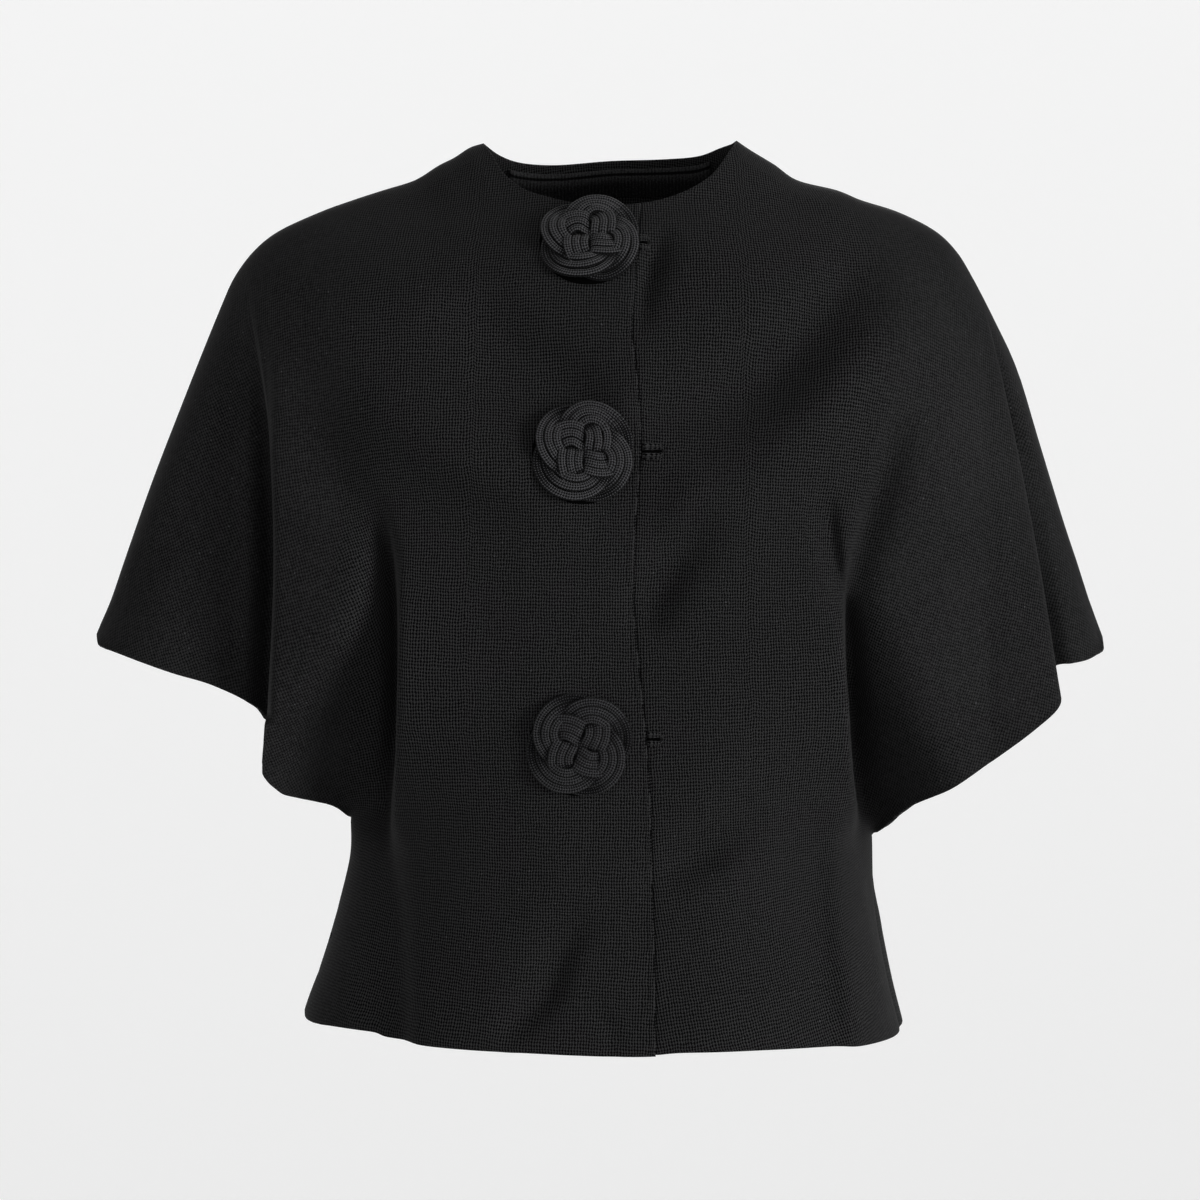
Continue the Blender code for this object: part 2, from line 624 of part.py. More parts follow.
def outward(item):
    """Turn a closed mesh's faces outwards."""
    mesh = item.data
    work = bmesh.new()
    work.from_mesh(mesh)
    bmesh.ops.recalc_face_normals(work, faces=work.faces)
    work.to_mesh(mesh)
    work.free()
    mesh.shade_smooth()
    mesh.set_sharp_from_angle(angle=math.radians(SHARP_ANGLE))
    return item


def make_band(name):
    """Band that covers the turning inside the back neck."""
    rings = []
    face_in = -(WALL + BAND_GAP)
    drops = np.array([0.0, 0.0, BAND_WIDTH, BAND_WIDTH])
    lifts = np.array([face_in, face_in - BAND_THICK, face_in - BAND_THICK, face_in])
    for x in np.linspace(-BAND_REACH, BAND_REACH, BAND_RINGS):
        top = np.interp(x, NECK_LINES[1][:, 0], NECK_LINES[1][:, 1]) - BAND_DROP
        ring, _ = on_surface(np.full(len(drops), x), top - drops, 1, lifts[:, None])
        rings.append(ring)
    return make_strip(name, rings)


def make_buttonhole(name, level, reach):
    """Bound end of a buttonhole: two lips round a slit, open at the placket."""
    half = LIP_HEIGHT + SLIT / 2
    far = half * HOLE_TAPER
    inside = reach - BAR
    runs = np.array([0.0, reach, reach, 0.0, 0.0, inside, inside, 0.0])
    rises = np.array([half, far, -far, -half, -SLIT / 2, -SLIT / 2, SLIT / 2, SLIT / 2])
    x = edge_place(level) + HOLE_START + runs
    z = level + rises
    rings = []
    for lift in (LIP_GAP, LIP_GAP + LIP_THICK):
        ring, _ = on_surface(x, z, -1, lift, lap_shift(x, z, "left"))
        rings.append(ring)
    return make_strip(name, rings)


def knot_height(radius, turn):
    """Top of the knot over its seat, and whether a bundle lies there."""
    best = 0.0
    for lap in range(3):
        angle = turn + 2.0 * math.pi * lap
        middle = KNOT_RADIUS + KNOT_SWING * math.cos(4.0 * angle / 3.0)
        slope = -KNOT_SWING * 4.0 / 3.0 * math.sin(4.0 * angle / 3.0) / middle
        gap = abs(radius - middle) / math.sqrt(1.0 + slope * slope)
        if gap < BUNDLE_HALF:
            wave = KNOT_WAVE * math.sin(8.0 * angle / 3.0)
            crown = BUNDLE_CROWN * math.sqrt(1.0 - (gap / BUNDLE_HALF) ** 2)
            best = max(best, KNOT_BASE + wave + crown)
    return max(best, KNOT_HOLLOW)


def knot_edge(turn):
    """Outer radius of the knot in one direction."""
    reach = 0.0
    for lap in range(3):
        angle = turn + 2.0 * math.pi * lap
        reach = max(reach, KNOT_RADIUS + KNOT_SWING * math.cos(4.0 * angle / 3.0))
    return reach + BUNDLE_HALF


def make_button(name, place, turn_degrees):
    """Flat woven knot on the right front, seated on its outer surface."""
    seat_x, seat_z = np.array([place.x]), np.array([place.z])
    shift = lap_shift(seat_x, seat_z, "right")
    here, normal = on_surface(seat_x, seat_z, -1, 0.0, shift)
    centre, normal = here[0], normal[0]
    across = np.cross(np.array([0.0, 0.0, 1.0]), normal)
    across /= np.linalg.norm(across)
    up = np.cross(normal, across)
    reach = KNOT_RADIUS + KNOT_SWING + BUNDLE_HALF
    grid = np.linspace(-reach, reach, SEAT_SAMPLES)
    spread = np.array([(dx, dz) for dx in grid for dz in grid if dx * dx + dz * dz <= reach ** 2])
    spots = centre + spread[:, :1] * across + spread[:, 1:] * up
    x, z = spots[:, 0], spots[:, 2]
    under = np.stack([x, surface(x, z, -1) - lap_shift(x, z, "right"), z], -1)
    seat = np.max((under - centre) @ normal)
    centre = centre + normal * (seat + SEAM_GAP)
    turns = 2.0 * math.pi * np.arange(KNOT_SEGMENTS) / KNOT_SEGMENTS

    def place_at(radius, turn, height):
        swing = turn + math.radians(turn_degrees)
        flat = across * (radius * math.cos(swing)) + up * (radius * math.sin(swing))
        return centre + flat + normal * height

    points = [place_at(0.0, 0.0, knot_height(0.0, 0.0))]
    for share in KNOT_RINGS:
        for turn in turns:
            radius = knot_edge(turn) * share
            height = knot_height(radius, turn) if share < 1.0 else KNOT_RIM
            points.append(place_at(radius, turn, height))
    for turn in turns:
        points.append(place_at(knot_edge(turn) - KNOT_FOOT_IN, turn, 0.0))
    faces = []
    for k in range(KNOT_SEGMENTS):
        after = (k + 1) % KNOT_SEGMENTS
        faces.append((0, 1 + k, 1 + after))
        for ring in range(len(KNOT_RINGS)):
            a = 1 + ring * KNOT_SEGMENTS + k
            b = 1 + ring * KNOT_SEGMENTS + after
            faces.append((a, a + KNOT_SEGMENTS, b + KNOT_SEGMENTS, b))
    foot = 1 + len(KNOT_RINGS) * KNOT_SEGMENTS
    faces.append(tuple(range(foot, foot + KNOT_SEGMENTS)))
    return outward(make_object(name, np.array(points), faces))


# ---- Materials and assembly ----

def paint(item, colour, roughness):
    """Give a piece its own plain material."""
    material = bpy.data.materials.new(item.name)
    material.use_nodes = True
    shader = material.node_tree.nodes["Principled BSDF"]
    shader.inputs["Base Color"].default_value = (*colour, 1.0)
    shader.inputs["Roughness"].default_value = roughness
    shader.inputs["Metallic"].default_value = 0.0
    item.data.materials.append(material)


def build():
    """Make every piece of the garment."""
    clear_scene()
    cloth = [make_front("right_front", -1, "right")]
    cloth.append(make_front("left_front", 1, "left"))
    cloth.append(make_back("back"))
    cloth.append(make_band("back_neck_band"))
    levels = ("top", "middle", "bottom")
    for word, level, reach in zip(levels, HOLE_LEVELS, HOLE_REACH):
        cloth.append(make_buttonhole("buttonhole_" + word, level, reach))
    for item in cloth:
        paint(item, CLOTH_COLOUR, 0.95)
    for word, place, turn in zip(levels, BUTTON_PLACES, BUTTON_TURNS):
        paint(make_button("button_" + word, place, turn), CORD_COLOUR, 0.85)


build()
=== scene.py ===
import math
from collections import namedtuple

import bmesh
import bpy
import numpy as np
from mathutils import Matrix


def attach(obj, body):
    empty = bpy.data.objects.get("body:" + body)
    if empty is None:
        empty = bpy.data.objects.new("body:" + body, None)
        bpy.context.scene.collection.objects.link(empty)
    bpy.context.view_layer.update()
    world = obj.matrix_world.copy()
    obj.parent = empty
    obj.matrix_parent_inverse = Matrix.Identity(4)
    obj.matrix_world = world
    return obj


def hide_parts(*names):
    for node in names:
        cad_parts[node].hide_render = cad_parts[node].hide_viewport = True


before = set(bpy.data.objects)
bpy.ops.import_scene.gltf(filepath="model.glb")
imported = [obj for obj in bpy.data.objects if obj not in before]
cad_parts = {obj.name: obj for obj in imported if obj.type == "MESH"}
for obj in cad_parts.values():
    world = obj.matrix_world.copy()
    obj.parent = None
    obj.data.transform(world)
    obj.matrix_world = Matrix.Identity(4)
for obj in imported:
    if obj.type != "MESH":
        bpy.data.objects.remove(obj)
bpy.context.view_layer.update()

MM = 0.001


# ==== Camera ====
# A long lens straight in front of the jacket, a little above its chest and looking slightly
# down, far enough off that the cuffs don't swell.

bpy.ops.object.select_all(action="DESELECT")
aim = np.array([-0.0056, 0.0, -0.2324])
stand_off = 2.2
view_width = 0.672
rise = math.radians(4.0)
stand = aim + stand_off * np.array([0.0, -math.cos(rise), math.sin(rise)])
bpy.ops.object.camera_add(location=stand, rotation=(math.pi / 2 - rise, 0.0, 0.0))
camera = bpy.context.object
camera.name = "camera"
camera.data.lens = camera.data.sensor_width * stand_off / view_width
bpy.context.scene.camera = camera


# ==== Studio ====
# A pale paper sweep for the floor and the wall behind, in daylight that weakens upwards, with
# a soft lamp well round to the right and a weak one in front.

FLOOR_LEVEL = -3.2
FLOOR_SIZE = (12.0, 9.0, 1.0)
PAPER_TALL = 7.2
PAPER_BEND = 0.8
BEND_STEPS = 16
PAPER_GLOW = 0.175
FAR_EDGE = 2.0
AIR = {"From Min": 0.0, "From Max": 0.8, "To Min": 1.02, "To Max": 0.62}

bpy.ops.object.select_all(action="DESELECT")
bpy.ops.mesh.primitive_plane_add(size=1.0, location=(0.0, 0.0, FLOOR_LEVEL))
sweep = bpy.context.object
sweep.name = "paper_sweep"
sweep.scale = FLOOR_SIZE
bpy.ops.object.transform_apply(location=True, rotation=False, scale=True)
bpy.ops.object.mode_set(mode="EDIT")
bpy.ops.mesh.select_all(action="DESELECT")
work = bmesh.from_edit_mesh(sweep.data)
for edge in work.edges:
    edge.select = all(corner.co.y > FAR_EDGE for corner in edge.verts)
bmesh.update_edit_mesh(sweep.data)
bpy.ops.mesh.extrude_edges_move(TRANSFORM_OT_translate={"value": (0.0, 0.0, PAPER_TALL)})
bpy.ops.mesh.select_all(action="DESELECT")
work = bmesh.from_edit_mesh(sweep.data)
for edge in work.edges:
    edge.select = all(corner.co.y > FAR_EDGE and corner.co.z < 0.0 for corner in edge.verts)
bmesh.update_edit_mesh(sweep.data)
bpy.ops.mesh.bevel(offset=PAPER_BEND, segments=BEND_STEPS)
bpy.ops.object.mode_set(mode="OBJECT")
bpy.ops.object.shade_smooth()
paper = bpy.data.materials.new("paper")
paper.use_nodes = True
paper_shader = paper.node_tree.nodes["Principled BSDF"]
paper_shader.inputs["Base Color"].default_value = (0.90, 0.90, 0.90, 1.0)
paper_shader.inputs["Emission Color"].default_value = (1.0, 1.0, 1.0, 1.0)
paper_shader.inputs["Emission Strength"].default_value = PAPER_GLOW
paper_shader.inputs["Roughness"].default_value = 0.9
paper_shader.inputs["Specular IOR Level"].default_value = 0.1
sweep.data.materials.append(paper)

bpy.context.scene.view_settings.view_transform = "Standard"
world = bpy.data.worlds.new("studio_air")
bpy.context.scene.world = world
world.use_nodes = True
air = world.node_tree.nodes
joins = world.node_tree.links
air["Background"].inputs["Color"].default_value = (1.0, 1.0, 1.0, 1.0)
way = air.new("ShaderNodeTexCoord")
split = air.new("ShaderNodeSeparateXYZ")
dim = air.new("ShaderNodeMapRange")
dim.interpolation_type = "SMOOTHSTEP"
for name, value in AIR.items():
    dim.inputs[name].default_value = value
joins.new(way.outputs["Generated"], split.inputs[0])
joins.new(split.outputs["Z"], dim.inputs["Value"])
joins.new(dim.outputs["Result"], air["Background"].inputs["Strength"])

Lamp = namedtuple("Lamp", "name place turn size spread power")
lamps = (
    Lamp("key", (2.2, -1.4, -0.1), (87.0, 0.0, 57.0), 1.5, 36.0, 8.0),
    Lamp("fill", (0.3, -2.7, -0.1), (88.0, 0.0, 6.0), 1.2, 44.0, 0.6),
)
for lamp in lamps:
    turn = tuple(math.radians(angle) for angle in lamp.turn)
    bpy.ops.object.light_add(type="AREA", location=lamp.place, rotation=turn)
    light = bpy.context.object
    light.name = "lamp_" + lamp.name
    light.data.shape = "SQUARE"
    light.data.size = lamp.size
    light.data.spread = math.radians(lamp.spread)
    light.data.energy = lamp.power


# ==== Right front ====
# Half of the front with its cape sleeve cut in one, in thick black double knit. It laps over
# the left front, and its waist, cuff and front edge are turned in and stitched down.

WALL = 2.2
TURNED_WALL = 3.2
HEM_DEPTH = 32.0
CUFF_DEPTH = 24.0
TURN_RUN_OUT = 6.0
SEAM_GAP = -0.1
UNDERLAP = 44.0
LAP_LIFT = 2.1
LAP_FADE = 40.0
LAP_PAST = 4.0
TUCK_RUN = 8.0
TUCK_NECK = 2.5
TUCK_HEM = 3.0
BRUSHED_FROM = 98.0
BRUSHED_OVER = 56.0
NEAR_LAP = 10.0
FAR_AWAY = 400.0

# the seams and edges as they hang, seen from the front: place and height in millimetres
OVERARM_RIGHT = (
    (70, 22), (78, 19.5), (86.5, 14), (95.5, 9.5), (108.5, 1.5), (126, -4), (143, -9.5),
    (161, -16), (184, -26.5), (198, -37.5), (209, -52), (216, -67), (225.5, -90),
    (237.5, -120), (255, -165), (270.5, -209), (278, -231), (284.5, -246), (286, -250))
OVERARM_LEFT = (
    (70, 23.5), (79, 17.5), (91.5, 10), (104, 1.5), (126, -4), (139.5, -9.5), (160, -16),
    (180, -26), (192, -37), (201, -51), (214, -76), (227, -104), (239, -143), (252.5, -187),
    (260, -209.5), (267, -231.5), (272, -245), (274, -251))
SIDE_RIGHT = ((145, -353), (145, -371), (148.5, -389), (159, -428), (170.5, -459), (171, -464))
SIDE_LEFT = ((146.5, -362), (148, -403), (155, -442), (162.5, -472))
FRONT_NECK = (
    (-70, 22), (-64.5, 14), (-59, 5), (-48, -4), (-34, -9), (-18, -12.5), (0, -13.5),
    (17, -12.5), (32, -9), (46, -3), (57, 5), (64, 14.5), (70, 23))
BACK_NECK = (
    (-70, 22), (-62, 16.5), (-50, 12.8), (-30, 12), (0, 14.5), (30, 15.2), (50, 16.5),
    (62, 20.5), (70, 23))
FRONT_EDGE = (
    (16.5, -12.5), (14.5, -40), (13, -62), (11.5, -82), (14, -104), (16, -128), (16, -148),
    (14, -174), (12.5, -195), (12.2, -212), (12.8, -232), (14.2, -250), (16.3, -271),
    (19, -299), (21.2, -331), (22.5, -385), (23.4, -411), (24.1, -467))
HEM = (
    (-171, -464), (-153, -461), (-130, -461.5), (-115, -464.5), (-48, -466), (0, -467.5),
    (23, -467.5), (40, -466.3), (80, -466.3), (130, -469), (162.5, -472))

# sleeve sections from the overarm seam to the cuff: share of the seam, cuff's place and
# height, bow, and how far the front and the back are taken in behind the fold
SHOULDER_OUT = 150.0
SLEEVE_RIGHT = (
    (0.04, 151.5, -345.5, 0, 0, 0), (0.08, 162.0, -341.0, 0, 0, 0),
    (0.12, 171.0, -338.0, -2, 0, 0), (0.155, 179.5, -334.5, -5, 0, 0),
    (0.18, 187.5, -327.0, -10, 0, 0), (0.20, 190.0, -317.0, -12.5, 1, 1),
    (0.212, 188.0, -308.0, -12, 14, 8), (0.224, 188.0, -298.0, -10, 25, 14),
    (0.30, 197.0, -286.5, -4, 25, 12), (0.45, 218.0, -275.0, 0, 20, 9),
    (0.65, 240.0, -268.0, 0, 14, 7), (0.85, 265.0, -260.0, 0, 10, 6),
    (1.00, 283.5, -254.5, 0, 8, 6))
SLEEVE_LEFT = (
    (0.05, 157.0, -348.0, 0, 0, 0), (0.09, 169.0, -338.5, 0, 0, 0),
    (0.13, 183.0, -331.0, 0, 0, 0), (0.17, 198.0, -321.0, 0, 0, 0),
    (0.20, 213.0, -310.5, 0, 0, 0), (0.23, 231.0, -297.0, 2, 0, 0),
    (0.25, 244.5, -285.0, 3, 1, 1), (0.262, 244.5, -277.0, 2, 14, 8),
    (0.274, 241.5, -269.0, 2, 24, 14), (0.32, 245.0, -265.0, 1, 23, 12),
    (0.50, 253.0, -263.5, 0, 14, 9), (0.75, 264.0, -261.0, 0, 9, 7),
    (1.00, 273.0, -256.5, 0, 7, 7))
FOLD_START = 0.04
FOLD_FULL = 0.42

# depth in front of and behind the seams, by height, and how it rounds off
DEPTH = (
    (-475, 112, 109), (-420, 107, 105), (-350, 105, 103), (-250, 109, 105), (-200, 112, 108),
    (-150, 111, 108), (-110, 104, 102), (-80, 95, 96), (-55, 84, 88), (-30, 67, 76),
    (-12, 52, 64), (10, 44, 55), (30, 40, 50))
SIDE_SHARE = 0.62
SHARE_OUT = 205.0
SHARE_POWER = 2.4
SHOULDER_ROUND = 75.0
BODY_ROUND = 115.0
ARM_ROUND = 60.0
ROUND_BLEND = 30.0
SEAM_FORWARD = 12.0
FORWARD_FROM = -100.0
FORWARD_OVER = 240.0
SWELL = {-1: 4.0, 1: 15.0}
SWELL_FROM = 3.0
SWELL_OVER = 50.0

# soft troughs, and ridges where the depth is negative, from the top down: place and height,
# half width on the left and on the right as seen from the front, depth, and how far the
# cloth on the steeper side leans out over the trough
FRONT_FOLDS = (
    # hollow behind the right arm, steep beside the body
    ((-130, -165, 10, 7, 0, 0), (-121, -190, 10, 5, 7, 1), (-117.5, -215, 12, 4, 15, 1),
     (-116.5, -242, 20, 4, 22, 2), (-117, -272, 40, 4, 38, 3), (-118, -305, 60, 4, 52, 4),
     (-122, -345, 66, 5, 56, 4), (-122, -368, 26, 8, 19, 1), (-117, -395, 20, 7, 11, 0),
     (-115, -430, 24, 7, 13, 0), (-114, -464, 24, 7, 12, 0)),
    ((-122, -180, 5, 3.5, 0, 0), (-118, -200, 5, 3, 8, 0), (-116, -230, 5, 3, 13, 1),
     (-115.5, -280, 6, 3, 14, 1), (-117, -320, 8, 3, 10, 0), (-120, -350, 8, 4, 0, 0)),
    # deep crease along the fold of the right sleeve
    ((-191, -80, 9, 5, 0, 0), (-188, -110, 8, 4, 8, 0), (-186.5, -150, 8, 3, 15, 0),
     (-185, -200, 8, 3, 19, 0), (-186, -245, 8, 3, 19, 0), (-188, -290, 9, 3, 16, 0)),
    # soft hollow from the right shoulder into the armhole
    ((-176, -70, 22, 22, 0, 0), (-158, -125, 20, 18, 6, 0), (-143, -165, 18, 14, 6, 0),
     (-128, -190, 14, 10, 2, 0)),
    # hollow behind the left arm, with its two short beginnings
    ((156, -120, 7, 12, 0, 0), (150, -145, 6, 12, 7, 0), (140, -178, 5, 12, 10, 1),
     (131, -215, 4, 12, 12, 1), (127.5, -232, 4, 16, 14, 2), (128, -255, 4, 22, 22, 2),
     (130, -280, 4, 28, 32, 3), (133, -315, 4, 34, 42, 3), (138, -345, 5, 34, 46, 3),
     (140, -366, 8, 14, 8, 1), (140, -390, 8, 12, 0, 0)),
    ((131, -222, 3.5, 6, 0, 0), (128.5, -240, 3, 6, 10, 1), (130, -275, 3, 7, 13, 1),
     (134, -320, 3, 9, 12, 1), (139, -350, 4, 8, 6, 0), (140, -362, 4, 8, 0, 0)),
    ((114, -165, 8, 6, 0, 0), (117, -185, 9, 5, 6, 2), (123, -222, 8, 5, 6, 2),
     (127, -245, 6, 5, 0, 0)),
    # slack from the left shoulder to the middle, and the bust below it
    ((150, -30, 20, 20, 0, 0), (124, -62, 19, 19, 12, 0), (98, -97, 19, 19, 13, 0),
     (66, -115, 20, 20, 10, 0), (26, -126, 18, 18, 4, 0), (12, -130, 16, 16, 0, 0)),
    ((182, -64, 22, 22, 0, 0), (133, -98, 22, 22, -11, 0), (102, -134, 22, 22, -12, 0),
     (70, -162, 22, 22, -5, 0), (44, -184, 20, 20, 0, 0)),
    ((-158, -104, 22, 22, 0, 0), (-98, -139, 20, 22, -13, 0), (-48, -161, 20, 22, -12, 0),
     (-6, -176, 18, 18, 0, 0)),
    ((-95, -62, 26, 24, 0, 0), (-55, -92, 24, 22, 10, 0), (-22, -112, 22, 20, 10, 0),
     (2, -128, 18, 18, 0, 0)),
    # slack below the bust and under the top button
    ((60, -180, 13, 11, 0, 0), (38, -202, 13, 11, 7, 0), (22, -228, 12, 11, 8, 0),
     (17, -245, 10, 10, 0, 0)),
    ((27, -192, 11, 10, 0, 0), (38, -174, 11, 10, -4, 0), (54, -158, 11, 10, 0, 0)),
    ((31, -24, 6, 8, 0, 0), (22, -46, 5, 9, 8, 0), (17, -66, 4, 8, 6, 0), (14.5, -86, 4, 6, 0, 0)),
    # creases near the waist
    ((-12, -385, 18, 10, 0, 0), (-24, -412, 15, 7, 6, 0), (-32, -434, 13, 6, 7, 0),
     (-50, -452, 11, 7, 4, 0), (-62, -460, 10, 7, 0, 0)),
    ((-16, -438, 4, 4, 0, 0), (-6, -445, 4, 4, 1.5, 0), (1, -455, 4, 4, 1.8, 0),
     (1.5, -466, 4, 4, 1, 0)),
    ((84, -340, 14, 12, 0, 0), (50, -361, 15, 11, 9, 0), (24, -372, 12, 12, 3, 0),
     (12, -380, 12, 12, 0, 0)),
    # corner where the side of the body turns, and the ditch of the side seam behind it
    ((118, -325, 10, 10, 0, 0), (122, -350, 9, 15, -8, 0), (126, -395, 9, 15, -15, 0),
     (131, -440, 9, 16, -15, 0), (135, -468, 9, 16, -11, 0)),
    ((142.5, -380, 2, 2, 0, 0), (144, -395, 2, 2, 9, 0), (151, -430, 2, 2, 10, 0),
     (158, -466, 2, 2, 6, 0)),
)
BACK_FOLDS = (
    ((-134, -110, 18, 16, 0, 0), (-124, -165, 20, 12, 7, 1), (-118, -245, 26, 8, 18, 3),
     (-124, -350, 34, 9, 17, 3), (-124, -400, 16, 12, 0, 0)),
    ((142, -100, 16, 18, 0, 0), (130, -160, 12, 20, 6, 1), (122, -240, 8, 26, 17, 3),
     (130, -350, 9, 34, 17, 3), (130, -400, 12, 16, 0, 0)),
    ((-64, -180, 20, 18, 0, 0), (-50, -290, 20, 16, 5, 0), (-45, -365, 20, 16, 8, 0),
     (-54, -462, 20, 18, 4, 0)),
    ((66, -210, 18, 18, 0, 0), (50, -330, 16, 18, 8, 0), (58, -462, 18, 20, 4, 0)),
    ((-8, -290, 18, 18, 0, 0), (3, -380, 15, 16, 7, 0), (-4, -462, 14, 14, 3, 0)),
    ((-96, -52, 28, 28, 0, 0), (-46, -86, 24, 24, 6, 0), (8, -104, 22, 22, 0, 0)),
    ((104, -60, 26, 26, 0, 0), (62, -96, 22, 22, 5, 0), (24, -118, 20, 20, 0, 0)),
)
LEAN_RISE = 8.0
LEAN_FADE = 26.0

NECK_STEPS = 40
SHOULDER_STEPS = 38
SLEEVE_STEPS = 6
ROWS_ABOVE = 110
ROWS_BELOW = 44
END_CROWD = 0.35
COLUMN_CROWD = 1.25
EDGE_ROUND = 0.6
COARSE_COLUMN = 3
COARSE_ROW = 4
MIDDLE_HALF = 70.0
MIDDLE_TOP = -90.0
MIDDLE_FOOT = -340.0
CHART_START = 400.0


def ease(value):
    share = np.clip(value, 0.0, 1.0)
    return share * share * (3.0 - 2.0 * share)


def rounded(value):
    share = np.clip(value, 0.0, 1.0)
    return np.sqrt(1.0 - (1.0 - share) ** 2)


def angles_round(count):
    """Evenly spaced angles round a full turn."""
    return 2.0 * math.pi * np.arange(count) / count


def smooth_line(rows, steps=5):
    """Close points along a smooth curve through the rows."""
    points = np.array(rows, dtype=float)
    knots = np.vstack([2.0 * points[0] - points[1], points, 2.0 * points[-1] - points[-2]])
    line = []
    for before, start, end, after in zip(knots, knots[1:], knots[2:], knots[3:]):
        for step in range(steps):
            t = step / steps
            pull = (end - before) * t + (2 * before - 5 * start + 4 * end - after) * t ** 2
            pull += (3 * start - before - 3 * end + after) * t ** 3
            line.append(start + 0.5 * pull)
    line.append(points[-1])
    return np.array(line)


def run_lengths(line):
    return np.concatenate([[0.0], np.cumsum(np.linalg.norm(np.diff(line, axis=0), axis=1))])


def along(line, shares):
    """Points at the given shares of a line's length."""
    lengths = run_lengths(line)
    wanted = np.asarray(shares) * lengths[-1]
    return np.stack([np.interp(wanted, lengths, line[:, k]) for k in range(line.shape[1])], -1)


def distance(x, z, line):
    """Distance in the front view from points to a line, and the share of it nearest."""
    points = np.stack([np.asarray(x, float), np.asarray(z, float)], -1)
    best = np.full(points.shape[:-1], np.inf)
    nearest = np.zeros(points.shape[:-1])
    count = len(line) - 1
    for index, (start, end) in enumerate(zip(line, line[1:])):
        run = end - start
        share = np.clip(((points - start) @ run) / max(run @ run, 1e-9), 0.0, 1.0)
        gap = np.linalg.norm(points - start - share[..., None] * run, axis=-1)
        nearer = gap < best
        best = np.where(nearer, gap, best)
        nearest = np.where(nearer, (index + share) / count, nearest)
    return best, nearest


mirror = np.array([-1.0, 1.0])
OVERARMS = {-1: smooth_line(OVERARM_RIGHT) * mirror, 1: smooth_line(OVERARM_LEFT)}
SIDE_SEAMS = {-1: smooth_line(SIDE_RIGHT) * mirror, 1: smooth_line(SIDE_LEFT)}
SLEEVES = {-1: SLEEVE_RIGHT, 1: SLEEVE_LEFT}
DEPTH_LINE = smooth_line(DEPTH)
NECK_LINES = {-1: smooth_line(FRONT_NECK), 1: smooth_line(BACK_NECK)}
EDGE_LINE = smooth_line(FRONT_EDGE)[::-1]
HEM_LINE = smooth_line(HEM)
FOLDS = {}
for face, folds in ((-1, FRONT_FOLDS), (1, BACK_FOLDS)):
    lines = [smooth_line(rows) for rows in folds]
    FOLDS[face] = [np.column_stack([line, np.gradient(line[:, :2], axis=0)]) for line in lines]


def sleeve_sections(sign, steps):
    """Close sections of one sleeve, from the underarm to the corner of the cuff."""
    underarm = SIDE_SEAMS[sign][0]
    start = (0.0, abs(underarm[0]), underarm[1], 0.0, 0.0, 0.0)
    return smooth_line((start,) + SLEEVES[sign], steps)[1:]


CUFF_LINES = {}
for sign in (-1, 1):
    cuff = sleeve_sections(sign, 4)[:, 1:3] * np.array([sign, 1.0])
    CUFF_LINES[sign] = np.vstack([SIDE_SEAMS[sign][:1], cuff])


def seam_plane(z):
    return -SEAM_FORWARD * ease((FORWARD_FROM - np.asarray(z)) / FORWARD_OVER)


def edge_place(z):
    return np.interp(z, EDGE_LINE[:, 1], EDGE_LINE[:, 0])


def fullness(x, z):
    """Share of the full depth, from none at the seams to one inside."""
    x = np.asarray(x, dtype=float)
    side = np.where(x < 0.0, -1, 1)
    share = np.zeros(np.broadcast(x, z).shape)
    for sign in (-1, 1):
        top_gap, _ = distance(x, z, OVERARMS[sign])
        side_gap, _ = distance(x, z, SIDE_SEAMS[sign])
        inward = abs(SIDE_SEAMS[sign][0, 0]) - np.abs(x)
        body = 0.5 + 0.5 * np.tanh(inward / ROUND_BLEND)
        radius = ARM_ROUND + (BODY_ROUND - ARM_ROUND) * body
        here = rounded(top_gap / SHOULDER_ROUND) * rounded(side_gap / radius)
        share = np.where(side == sign, here, share)
    return share


def folds_at(x, z, folds):
    """How far soft folds take the cloth in, and how far sideways their crests lean."""
    depth = np.zeros(np.broadcast(x, z).shape)
    lean = np.zeros_like(depth)
    for fold in folds:
        gap, share = distance(x, z, fold[:, :2])
        count = np.arange(len(fold))
        here = [np.interp(share * count[-1], count, fold[:, k]) for k in range(8)]
        near_x, near_z, left, right, deep, over, run_x, run_z = here
        to_right = run_x * (z - near_z) - run_z * (x - near_x) > 0.0
        depth += deep * np.exp(-(gap / np.where(to_right, right, left)) ** 2)
        steep = to_right == (right < left)
        past = np.maximum(gap - LEAN_RISE, 0.0) / LEAN_FADE
        crest = ease(gap / LEAN_RISE) * np.exp(-past ** 2) * steep
        lean += over * crest * np.where(to_right, -1.0, 1.0)
    return depth, lean


def surface(x, z, face, taken_in=0.0):
    """Depth place of the cloth's outer side; face is -1 in front and 1 behind."""
    column = 1 if face < 0 else 2
    depth = np.interp(z, DEPTH_LINE[:, 0], DEPTH_LINE[:, column])
    fall = np.clip(np.abs(x) / SHARE_OUT, 0.0, 1.0) ** SHARE_POWER
    depth = depth * (1.0 - (1.0 - SIDE_SHARE) * fall)
    depth = depth - taken_in - folds_at(x, z, FOLDS[face])[0]
    return seam_plane(z) + face * (SEAM_GAP / 2 + depth * fullness(x, z))


def on_surface(x, z, face, lift, shift=0.0):
    """Point over the outer side and the outward normal there."""
    step = 1.0
    y = surface(x, z, face)
    slope_x = (surface(x + step, z, face) - surface(x - step, z, face)) / (2 * step)
    slope_z = (surface(x, z + step, face) - surface(x, z - step, face)) / (2 * step)
    normal = np.stack([-slope_x, np.ones_like(slope_x), -slope_z], -1) * face
    normal /= np.linalg.norm(normal, axis=-1, keepdims=True)
    point = np.stack(np.broadcast_arrays(x, y + face * shift, z), -1)
    return point + normal * lift, normal


